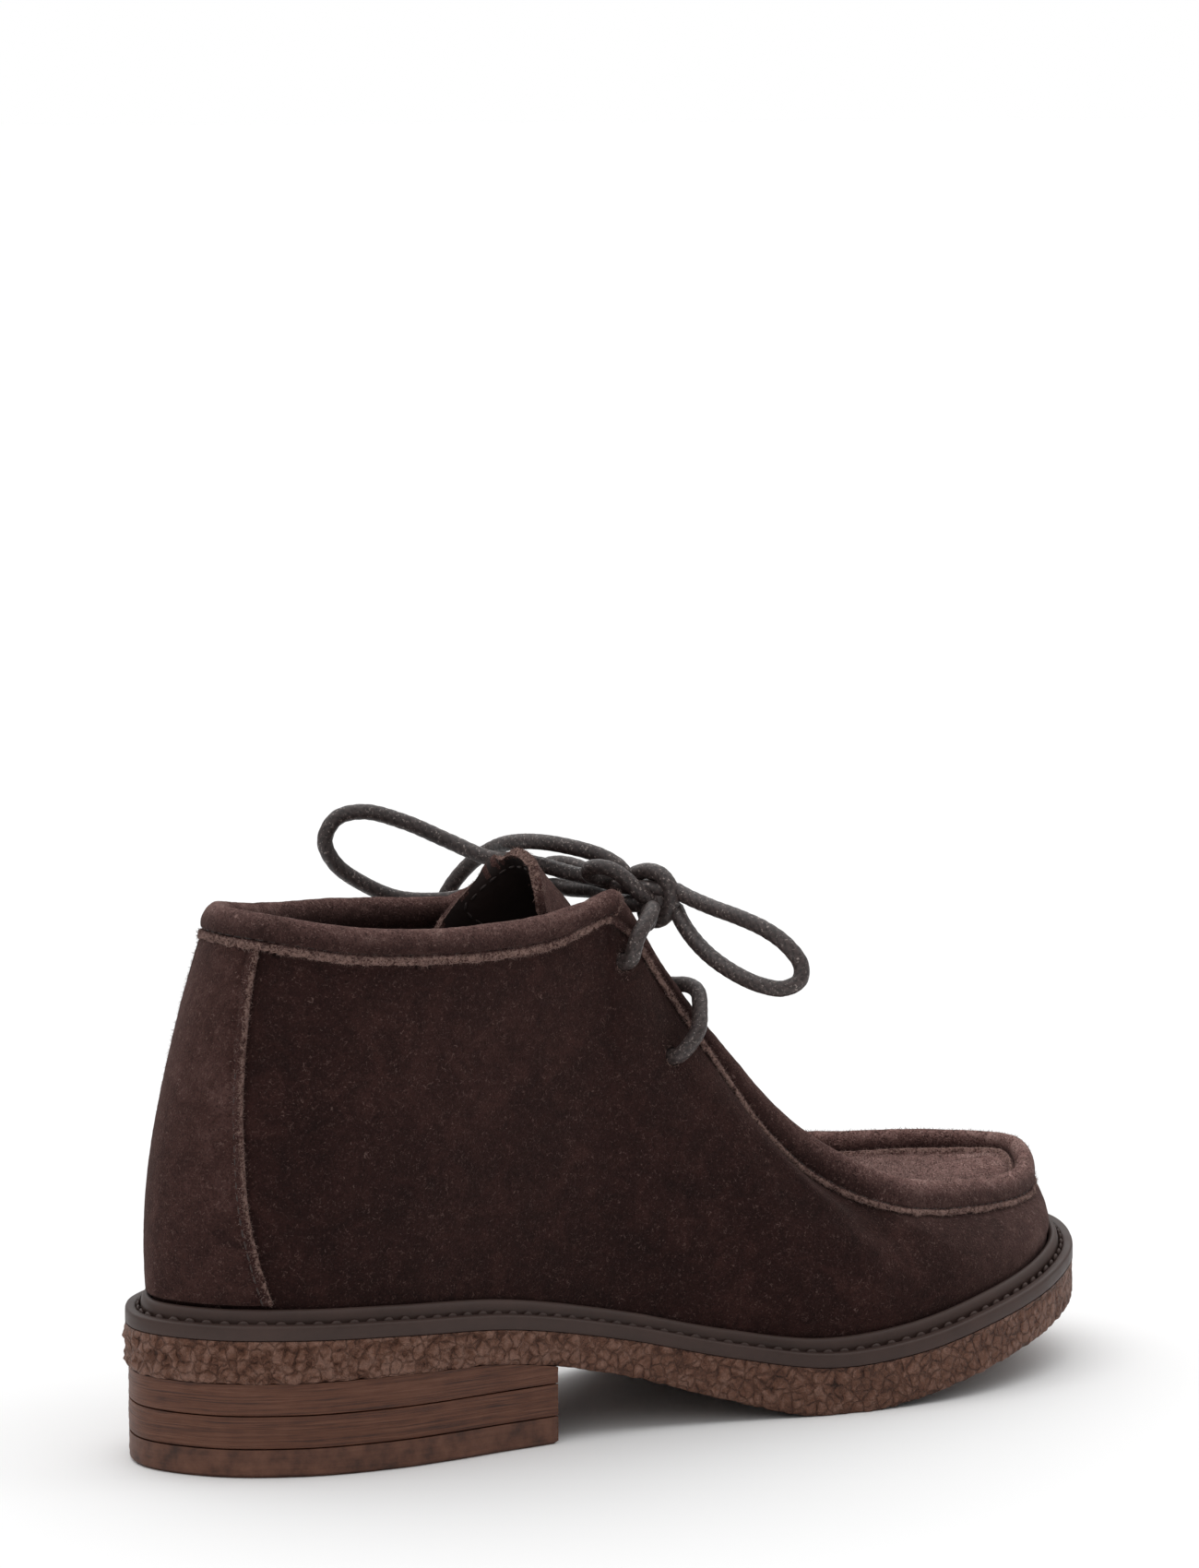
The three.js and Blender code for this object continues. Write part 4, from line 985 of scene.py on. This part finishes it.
placeShare = np.repeat(panelLine[:, :1], placeRow.shape[1], axis=1)
bare, normal = wallPoint(placeRow, placeShare, placeOffset)
soft = wallOffset(placeRow, placeShare, bare) * (placeOffset > 0.8)
fray = lumpy(bare, panelValues["ragged"]) * (placeCut > 0.8)
tangent = unit(np.gradient(bare, axis=1))
bare = bare + normal * (soft + 0.5 * fray)[..., None] + tangent * fray[..., None]
under = wallPoint(placeRow, placeShare, np.full(placeRow.shape, boot["panelGap"]))[0]
outside = skin.add(bare, cutEdge=placeCut, wear=panelValues["wear"])
inside = skin.add(under)
last = len(outside) - 1
for k in range(last):
    skin.strip(outside[k], outside[k + 1])
    skin.strip(inside[k + 1], inside[k])
skin.strip(inside[0], outside[0])
skin.strip(outside[last], inside[last])
skin.strip(outside[:, 0], inside[:, 0])
skin.strip(inside[:, -1], outside[:, -1])
backPanel = skin.made("backPanel", [suede])
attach(backPanel, "root")
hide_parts("back_panel")
print("back panel made")

# Tongue: suede outside, lining inside, with pale cut edges

tongueValues = {"across": 44, "perRow": 4, "upperSteps": 12, "archFrom": 0.47, "archTo": 1.03,
                "archSquare": 3.4, "archFlat": 0.42, "rim": 2.2,
                "lumps": ((0.12, 9, 0), (0.06, 1.6, 3)), "ragged": ((0.14, 1.2, 5),),
                "innerBend": 3, "facingBand": 1.2, "wear": 0.3, "seamIn": 4, "seamDown": 7, "seamStand": 0.12,
                "bevel": 0.5, "sharp": 50}
tongueTable = (  # row, reach, half, wrap on the outer side, on the inner side, tuck
    (8.5, 0, .15, .03, .03, 1.25), (8.2, 0, .155, .035, .04, 1.2), (7.9, 0, .155, .045, .05, 1.1),
    (7.4, 0, .15, .065, .065, 1), (6.8, 0, .15, .08, .09, 1), (6.2, 0, .165, .095, .14, 1),
    (5.6, 0, .18, .115, .2, 1), (5.6, .25, .18, .13, .23, .95), (5.6, .47, .178, .14, .26, 1.03),
    (5.6, .7, .175, .12, .27, 1.3), (5.6, .8, .17, .1, .24, 1.42), (5.6, .87, .16, .08, .185, 1.48),
    (5.6, .95, .13, .05, .08, 1.55), (5.6, 1, .085, .02, .015, 1.6))


def tongueFace():
    # columns run straight up from the apron and each ends at its own place on the arch of the rim
    table = np.array(tongueTable)
    lower, upper = table[table[:, 1] == 0], table[table[:, 1] >= 0][-8:]
    widest = upper[0, 2]
    columns = []
    low, high = tongueValues["archFrom"], tongueValues["archTo"]
    for t in np.linspace(-1, 1, tongueValues["across"] + 1):
        x = abs(t) * widest
        top = low + (high - low) * (1 - abs(t) ** tongueValues["archSquare"]) ** tongueValues["archFlat"]
        line = [(row, 0, half, wrap, innerWrap, tuck, t) for row, _, half, wrap, innerWrap, tuck in lower]
        for share in np.linspace(0, 1, tongueValues["upperSteps"] + 1)[1:]:
            reach = top * share
            half, wrap, innerWrap, tuck = (np.interp(reach, upper[:, 1], upper[:, k]) for k in (2, 3, 4, 5))
            line.append((upper[0, 0], reach, widest, wrap, innerWrap, tuck, min(x / half, 1) * np.sign(t)))
        points = []
        for row, reach, half, wrap, innerWrap, tuck, across in line:
            fallsBack = innerWrap * across ** tongueValues["innerBend"] if across > 0 else wrap * across ** 2
            beyond = reach * (boot["tongueReach"] - boot["tongueFall"] * max(across, 0) ** 2)
            points.append(throatPoint(row, t * half * boot["ballWidth"],
                                      tuck * boot["tongueRoom"] + fallsBack * boot["ballWidth"], beyond))
        places = np.linspace(0, len(points) - 1, (len(points) - 1) * tongueValues["perRow"] + 1)
        columns.append(openCurve(points)(places))
    return np.stack(columns, axis=1)


face = tongueFace()
facing = unit(np.cross(np.gradient(face, axis=1), np.gradient(face, axis=0)))
back = face - facing * boot["tongueThickness"]
face = face + facing * lumpy(face, tongueValues["lumps"])[..., None]
rim = np.ones(face.shape[:2], bool)
rim[:-1, 1:-1] = False
rimOut = unit(np.where(rim[..., None], face - face[len(face) // 2, face.shape[1] // 2], 1))
fray = (lumpy(face, tongueValues["ragged"]) * rim)[..., None]
face, back = face + rimOut * fray, back + rimOut * fray
fromRim = np.min(np.linalg.norm(face[:, :, None] - face[rim][None, None, ::3], axis=-1), axis=-1)
rimShare = np.clip(1.5 - fromRim / tongueValues["rim"] * 1.5, 0, 1)
skin = Skin()
front = skin.add(face, cutEdge=rimShare, wear=tongueValues["wear"])
rear = skin.add(back, cutEdge=rim.astype(float), wear=tongueValues["wear"])
last = len(front) - 1
for k in range(last):
    skin.strip(front[k], front[k + 1], 0)
    for i in range(tongueValues["across"]):
        lined = int(fromRim[k, i] > tongueValues["facingBand"])
        skin.face((rear[k + 1, i], rear[k + 1, i + 1], rear[k, i + 1], rear[k, i]), lined)
skin.strip(rear[0], front[0], 0)
skin.strip(front[last], rear[last], 0)
skin.strip(front[:, 0], rear[:, 0], 0)
skin.strip(rear[:, -1], front[:, -1], 0)
tongue = skin.made("tongueSuede", [suede, lining], sharp=tongueValues["sharp"])
# the seam of the band inside the rim, up one side, over the top and down the other
middleLevel, topLevel = face.shape[0] // 2, face.shape[0] - tongueValues["seamDown"]
first, last = tongueValues["seamIn"], face.shape[1] - 1 - tongueValues["seamIn"]
seamCells = [(k, first) for k in range(middleLevel, topLevel)]
seamCells += [(topLevel, i) for i in range(first + 1, last)]
seamCells += [(k, last) for k in range(topLevel, middleLevel, -1)]
tongueSeam = np.array([back[cell] - facing[cell] * tongueValues["seamStand"] for cell in seamCells])
tongueSeamFacing = np.array([-facing[cell] for cell in seamCells])
bevel = tongue.modifiers.new("rounding", "BEVEL")
bevel.width, bevel.segments = tongueValues["bevel"] * mm, 2
bevel.limit_method, bevel.angle_limit = "ANGLE", math.radians(tongueValues["sharp"])
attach(tongue, "root")
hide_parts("tongue")
print("tongue made")

# Welt: flat flange, stitching channel and the bead against the upper

weltValues = {"perRow": 20}
weltProfile = (  # inset, height
    (.25, -.26), (0, 0), (0, 1.2), (0, 2.1), (.05, 2.6), (.22, 2.98), (.55, 3.18), (1, 3.22), (1.8, 3.2),
    (2.25, 3.14), (2.42, 2.9), (2.55, 2.2), (2.8, 1.55), (3.2, 1.45), (3.5, 1.8), (3.62, 2.5), (3.58, 3.2),
    (3.56, 3.9), (3.8, 4.9), (4.2, 5.65), (4.75, 6.05), (5.3, 6.0), (5.75, 5.6), (6, 5), (6, 2.6), (6, 0),
    (3, -.26))
weltRows = np.arange(loopRows * weltValues["perRow"]) / weltValues["perRow"]
skin = Skin()
rings = []
for inset, height in weltProfile:
    line = planPoint(weltRows, inset)
    rings.append(skin.add(lifted(line, crepeTop(line[:, 0]) + boot["fitGap"] + height)))
rings = np.array(rings).T
for k in range(len(rings)):
    a, b = rings[(k + 1) % len(rings)], rings[k]
    skin.strip(np.append(a, a[0]), np.append(b, b[0]))
welt = skin.made("rubberWelt", [weltRubber], sharp=60)
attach(welt, "root")
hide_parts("welt")
print("welt made")


# Slabs of the sole: stacked rings of the outline, closed by a bottom and a top

def rowAlong(distance, inset, inner=False):
    # row at which a side of the outline reaches a distance from the heel, found by halving
    low, high = 0.0, float(lastRow)
    for _ in range(40):
        middle = (low + high) / 2
        reached = planPoint(loopRows - middle if inner else middle, inset)[0]
        low, high = (middle, high) if reached < distance else (low, middle)
    return loopRows - (low + high) / 2 if inner else (low + high) / 2


def slab(skin, levels, perRow, shaped, cut=None, cutSteps=40):
    # levels are (inset, cut inset, height of x); shaped moves the points of a side ring
    rings = []
    for inset, cutInset, height in levels:
        if cut is None:
            loop = planPoint(np.arange(loopRows * perRow) / perRow, inset)
        else:
            end = cut - cutInset
            inner = loopRows - rowAlong(end, inset, True)
            side = planPoint(np.linspace(-inner, rowAlong(end, inset), 9 * perRow) % loopRows, inset)
            side[0, 0] = side[-1, 0] = end
            breast = np.linspace(side[-1], side[0], cutSteps + 1)[1:-1]
            loop = np.vstack([side, breast])
        rings.append(lifted(loop, height(loop[:, 0])))
    rings = np.array(rings)
    ids = skin.add(shaped(rings), relief=0.0)
    for k in range(len(ids) - 1):
        a, b = ids[k], ids[k + 1]
        skin.strip(np.append(a, a[0]), np.append(b, b[0]))
    return rings, ids


def cap(skin, ring, ids, across, heightOf, faceUp):
    # closes a ring whose points pair up across the foot
    count = len(ring)
    half = count // 2
    left = [int(ids[k]) for k in range(half + 1)]
    right = [int(ids[-k % count]) for k in range(half + 1)]
    bridges = []
    for k in range(1, half):
        a, b = ring[k], ring[-k % count]
        inner = np.array([a + (b - a) * s for s in np.linspace(0, 1, across + 1)[1:-1]])
        inner[:, 2] = heightOf(inner[:, 0])
        bridges.append([left[k]] + list(skin.add(inner)) + [right[k]])
    for a, b in zip(bridges[:-1], bridges[1:]):
        skin.strip(*((a, b) if faceUp else (b, a)))
    for tip, line, start in ((left[0], bridges[0], True), (left[half], bridges[-1], False)):
        for p, q in zip(line[:-1], line[1:]):
            corners = (tip, q, p) if start == faceUp else (tip, p, q)
            skin.face(corners)


# Crepe sole: crumbled sides, coarse lumps round the heel

crepeValues = {
    "perRow": 66, "levels": 22, "underSteps": 12, "topSteps": 6, "depth": 1.05,
    # lumps as height, size and seed, and ridges between them that grow round the heel
    "crumbs": ((0.45, 2.7, 11), (0.35, 1.3, 2)), "ridges": ((1, 3.51, 4),), "ridgeHeight": 0.35,
    "uneven": ((0.25, 1.6, 9),), "pits": ((0.4, 2.2, 6),), "pitDepth": 0.08, "heelFade": 60, "shade": 0.35,
}


def sideways(rings):
    return unit(np.cross(np.roll(rings, -1, axis=1) - np.roll(rings, 1, axis=1), up))


def crumbs(rings):
    # how near the heel each point lies, and how far its crumb stands out, from about -1 to 1
    heel = np.clip((boot["heelLength"] - rings[..., 0]) / crepeValues["heelFade"] + 0.5, 0, 1)
    ridged = 1 - 2 * np.abs(lumpy(rings * [1, 1, 0.8], crepeValues["ridges"]))
    ridges = crepeValues["ridgeHeight"] * ridged * (0.4 + 0.9 * heel)
    return heel, lumpy(rings, crepeValues["crumbs"]) + ridges


def crumbled(rings):
    points = rings.copy()
    level = np.linspace(0, 1, len(rings))[:, None]
    heel, amount = crumbs(rings)
    depth = crepeValues["depth"] * (0.65 + 0.6 * heel)
    fadeTop = np.clip((1 - level) * 9, 0, 1)
    points += sideways(rings) * (depth * (amount - 0.35) * fadeTop)[..., None]
    under = np.clip((rings[..., 0] - boot["heelLength"] - 2) / 6, 0, 1) * (level < 0.2)
    points[..., 2] += np.where((level > 0.1) & (level < 0.9), lumpy(rings, crepeValues["uneven"]), 0)
    pitted = under * (lumpy(rings * [1, 1, 0], crepeValues["pits"]) - crepeValues["pitDepth"])
    points[..., 2] = np.maximum(points[..., 2] + pitted, 0)
    return points


skin = Skin()
crepeLevels = [(boot["crepeEdge"], 0, crepeUnderside),
               (boot["crepeEdge"] * 0.3, 0, lambda x: crepeUnderside(x) + 0.25)]
for k in range(crepeValues["levels"] + 1):
    share = k / crepeValues["levels"]
    crepeLevels.append((0, 0, lambda x, s=share: crepeUnderside(x) + boot["crepeEdge"] + (
        crepeTop(x) - crepeUnderside(x) - boot["crepeEdge"]) * s))
rings, ids = slab(skin, crepeLevels, crepeValues["perRow"], crumbled)
# each crumb's rise is kept on the points to paint light on the crests and shade in the hollows
skin.values["relief"][:ids.size] = np.clip(crumbs(rings)[1] * crepeValues["shade"], -0.3, 0.3).ravel()
cap(skin, rings[0], ids[0], crepeValues["underSteps"], crepeUnderside, False)
cap(skin, rings[-1], ids[-1], crepeValues["topSteps"], crepeTop, True)
crepeSole = skin.made("crepeSole", [crepe])
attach(crepeSole, "root")
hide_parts("midsole")
print("crepe sole made:", len(crepeSole.data.polygons), "faces")

# Heel lifts

liftValues = {"perRow": 24, "levels": 14, "wear": 0.08, "jointEdge": 0.15, "topGap": 0.03,
              "lines": ((0.1, 0.9, 3),), "waver": ((0.1, 9, 1),)}
lowJoint, highJoint = boot["liftJoints"]


def scoured(rings):
    # lines that run level round the heel, and a slow waver
    lines = lumpy(rings * [0.03, 0.03, 1], liftValues["lines"]) + lumpy(rings, liftValues["waver"])
    return rings + sideways(rings) * (lines - liftValues["wear"])[..., None]


def flatAt(height):
    return lambda x: np.full(np.shape(x), float(height))


def heelLift(name, low, high, edgeInset, material):
    skin = Skin()
    inset = boot["heelInset"]
    levels = [(inset + edgeInset, edgeInset, low)]
    for k in range(liftValues["levels"] + 1):
        share = k / liftValues["levels"]
        levels.append((inset, 0, lambda x, s=share: low(x) + edgeInset + (high(x) - low(x) - edgeInset) * s))
    rings, ids = slab(skin, levels, liftValues["perRow"], scoured, cut=boot["heelLength"])
    for k, faceUp, heightOf in ((0, False, low), (-1, True, high)):
        centre = rings[k].mean(axis=0)
        centre[2] = heightOf(centre[0])
        hub = int(skin.add(centre))
        loop = list(ids[k]) + [ids[k][0]]
        for a, b in zip(loop[:-1], loop[1:]):
            skin.face((int(a), int(b), hub) if faceUp else (int(b), int(a), hub))
    return skin.made(name, [material], sharp=50)


for name, nodeName, low, high, edgeInset, material in (
        ("topLift", "top_lift", flatAt(0), flatAt(lowJoint), boot["liftEdge"], topLiftRubber),
        ("heelLiftMiddle", "heel_lift_middle", flatAt(lowJoint + boot["fitGap"]), flatAt(highJoint),
         liftValues["jointEdge"], heelStackRubber),
        ("heelLiftUpper", "heel_lift_upper", flatAt(highJoint + boot["fitGap"]),
         lambda x: crepeUnderside(x) - liftValues["topGap"], liftValues["jointEdge"], heelStackRubber)):
    piece = heelLift(name, low, high, edgeInset, material)
    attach(piece, "root")
    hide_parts(nodeName)
print("heel made")

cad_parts["insole"].data.materials.clear()
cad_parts["insole"].data.materials.append(lining)


# What repeats grows by Geometry Nodes: a group is started, ended and run on an object in the same way

def startTree(name, inputs, output):
    tree = bpy.data.node_groups.new(name, "GeometryNodeTree")
    for socket, kind in inputs.items():
        tree.interface.new_socket(socket, in_out="INPUT", socket_type="NodeSocket" + kind)
    tree.interface.new_socket(output, in_out="OUTPUT", socket_type="NodeSocketGeometry")
    return tree, tree.nodes.new("NodeGroupInput").outputs


def endTree(tree, geometry, material):
    real = addNode(tree, "GeometryNodeRealizeInstances", {"Geometry": geometry})
    finished = addNode(tree, "GeometryNodeSetMaterial", {"Geometry": real.outputs[0], "Material": material})
    addNode(tree, "NodeGroupOutput", {0: finished.outputs[0]})
    return tree


def scattered(tree, least, most, seed):
    return addNode(tree, "FunctionNodeRandomValue", {"Min": least, "Max": most, "Seed": seed},
                   data_type="FLOAT_VECTOR").outputs[0]


def grown(tree, source, values):
    # the mesh that a group makes from an object, which goes
    made = source.modifiers.new(tree.name, "NODES")
    made.node_group = tree
    for item in tree.interface.items_tree:
        if item.in_out == "INPUT" and item.name in values:
            made[item.identifier] = values[item.name]
    mesh = bpy.data.meshes.new_from_object(source.evaluated_get(bpy.context.evaluated_depsgraph_get()))
    bpy.data.objects.remove(source)
    return mesh


# Stitching, along lines laid on the pieces, with sizes in millimetres

stitchValues = {
    "welt": {"Pitch": 4.2, "Length": 2.9, "Width": 1.05, "Height": 2.2, "Seed": 3},
    "collar": {"Pitch": 2.9, "Length": 2.3, "Width": 0.55, "Height": 0.55, "Seed": 5},
    "ridge": {"Pitch": 2.9, "Length": 2.3, "Width": 0.55, "Height": 0.55, "Seed": 6},
    "panel": {"Pitch": 2.7, "Length": 2.1, "Width": 0.5, "Height": 0.5, "Seed": 8},
    "tongue": {"Pitch": 2.9, "Length": 2.2, "Width": 0.5, "Height": 0.5, "Seed": 9},
}
# where the lines lie: inset and height on the welt, height over the wall and ends of the two seams in rows
seamValues = {"weltInset": 2.9, "weltHeight": 2.65, "over": 0.35, "collarEnd": 5.05, "ridgeEnd": 5.5,
              "collarSteps": 600, "ridgeSteps": 700, "panelIn": 0.105, "panelOver": 1.3}


def stitchTree():
    tree, given = startTree("stitching", {
        "Line": "Geometry", "Pitch": "Float", "Length": "Float", "Width": "Float", "Height": "Float",
        "Seed": "Int", "Thread": "Material"}, "Stitches")
    curve = addNode(tree, "GeometryNodeMeshToCurve", {"Mesh": given["Line"]})
    even = addNode(tree, "GeometryNodeResampleCurve", {"Curve": curve.outputs[0], "Length": given["Pitch"]},
                   mode="LENGTH")
    tangent = tree.nodes.new("GeometryNodeInputTangent")
    facing = addNode(tree, "GeometryNodeInputNamedAttribute", {"Name": "facing"}, data_type="FLOAT_VECTOR")
    alongRow = addNode(tree, "FunctionNodeAlignRotationToVector", {"Vector": tangent.outputs[0]}, axis="X")
    turned = addNode(tree, "FunctionNodeAlignRotationToVector", {
        "Rotation": alongRow.outputs[0], "Vector": facing.outputs[0]}, axis="Z", pivot_axis="X")
    size = addNode(tree, "ShaderNodeCombineXYZ", {
        "X": given["Length"], "Y": given["Width"], "Z": given["Height"]})
    bead = addNode(tree, "GeometryNodeMeshUVSphere", {"Segments": 8, "Rings": 6, "Radius": 0.5})
    shaped = addNode(tree, "GeometryNodeTransform", {"Geometry": bead.outputs[0], "Scale": size.outputs[0]})
    smooth = addNode(tree, "GeometryNodeSetShadeSmooth", {"Geometry": shaped.outputs[0]})
    laid = addNode(tree, "GeometryNodeInstanceOnPoints", {
        "Points": even.outputs[0], "Instance": smooth.outputs[0], "Rotation": turned.outputs[0],
        "Scale": scattered(tree, (0.9, 0.9, 0.85), (1.05, 1.1, 1.1), given["Seed"])})
    return endTree(tree, laid.outputs[0], given["Thread"])


stitching = stitchTree()


def sewn(name, points, facing, material, slot, sizes, loop=False):
    points, facing = np.asarray(points), np.asarray(facing)
    last = len(points) - 1
    mesh = bpy.data.meshes.new(name + "Line")
    edges = [(k, k + 1) for k in range(last)] + ([(last, 0)] if loop else [])
    mesh.from_pydata(inFrame(points).tolist(), edges, [])
    mesh.attributes.new("facing", "FLOAT_VECTOR", "POINT").data.foreach_set("vector", facing.ravel())
    values = {key: value if key == "Seed" else value * mm for key, value in sizes.items()}
    result = grown(stitching, placed(name + "Line", mesh), {**values, "Thread": material})
    result.name = name
    piece = placed(name, result)
    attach(piece, "root")


def seamAlong(rows):
    # the middle of the groove above the strip's raw edge, and the way it faces
    away = np.minimum(rows, loopRows - rows)
    flange = np.where(away < upperValues["cornerRow"], upperValues["collarFlange"],
                      upperValues["ridgeFlange"])
    _, crest, down, out = crestFrame(rows)
    drop = wallFormAt(rows)[:, 2] * boot["rollHeight"] - upperValues["grooveAbove"] * flange
    return crest + down * drop[:, None] + out * (seamValues["over"] + overPanel(away))[:, None], out


weltLine = planPoint(weltRows, seamValues["weltInset"])
weltLine = lifted(weltLine, crepeTop(weltLine[:, 0]) + boot["fitGap"] + seamValues["weltHeight"])
sewn("weltStitches", weltLine, np.tile(up, (len(weltLine), 1)), weltRubber, "welt_rubber",
     stitchValues["welt"], loop=True)
collarEnd = seamValues["collarEnd"]
collarSeam = np.linspace(-collarEnd, collarEnd, seamValues["collarSteps"]) % loopRows
sewn("collarStitches", *seamAlong(collarSeam), thread, "lace", stitchValues["collar"])
ridgeSeam = np.linspace(seamValues["ridgeEnd"], loopRows - seamValues["ridgeEnd"], seamValues["ridgeSteps"])
sewn("ridgeStitches", *seamAlong(ridgeSeam), thread, "lace", stitchValues["ridge"])
for sideName, sign in (("Inner", -1), ("Outer", 1)):
    reachLine = panelLine[2:-2]
    edgeRows = sign * (reachLine[:, 1] - seamValues["panelIn"]) % loopRows
    over = np.full(len(reachLine), seamValues["panelOver"])
    sewn("panelStitches" + sideName, *wallPoint(edgeRows, reachLine[:, 0], over), thread, "lace",
         stitchValues["panel"])
sewn("tongueStitches", tongueSeam, tongueSeamFacing, thread, "lace", stitchValues["tongue"])
print("stitching sewn")

# Loose nap: short fibres that stand on raw edges and on the brushed rolls, so many to a square millimetre

napValues = {"Density": 4, "Length": 0.9, "Width": 0.06}


def napTree():
    tree, given = startTree("looseNap", {
        "Surface": "Geometry", "Density": "Float", "Length": "Float", "Width": "Float", "Seed": "Int",
        "Fibre": "Material"}, "Fibres")
    cut, wearAndPaintedLight = (addNode(tree, "GeometryNodeInputNamedAttribute", {"Name": name}).outputs[0]
                 for name in ("cutEdge", "wear"))
    brushAndPaintedLight = addNode(tree, "ShaderNodeMath", {0: wearAndPaintedLight, 1: 1.1, 2: -0.6}, operation="MULTIPLY_ADD",
                      use_clamp=True)
    share = addNode(tree, "ShaderNodeMath", {0: brushAndPaintedLight.outputs[0], 1: cut}, operation="MAXIMUM")
    dense = addNode(tree, "ShaderNodeMath", {0: share.outputs[0], 1: given["Density"]}, operation="MULTIPLY")
    strewn = addNode(tree, "GeometryNodeDistributePointsOnFaces", {
        "Mesh": given["Surface"], "Density": dense.outputs[0], "Seed": given["Seed"]})
    turned = addNode(tree, "FunctionNodeRotateRotation", {
        "Rotation": strewn.outputs["Rotation"],
        "Rotate By": scattered(tree, (-1.1, -1.1, -3.1), (1.1, 1.1, 3.1), given["Seed"])},
        rotation_space="LOCAL")
    fibre = addNode(tree, "GeometryNodeMeshCone", {
        "Vertices": 3, "Radius Top": 0.0, "Radius Bottom": given["Width"], "Depth": given["Length"]},
        fill_type="NONE")
    planted = addNode(tree, "GeometryNodeInstanceOnPoints", {
        "Points": strewn.outputs["Points"], "Instance": fibre.outputs[0], "Rotation": turned.outputs[0],
        "Scale": scattered(tree, (0.7, 0.7, 0.4), (1.2, 1.2, 1.3), given["Seed"])})
    return endTree(tree, planted.outputs[0], given["Fibre"])


nap = napTree()
for name, piece, seed in (("upperNap", upper, 21), ("panelNap", backPanel, 22), ("tongueNap", tongue, 23)):
    fibres = placed(name, grown(nap, placed(name + "Source", piece.data.copy()), {
        "Density": napValues["Density"] / mm ** 2, "Length": napValues["Length"] * mm,
        "Width": napValues["Width"] * mm, "Seed": seed, "Fibre": looseFibre}))
    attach(fibres, "root")
    print(name, len(fibres.data.polygons), "faces")
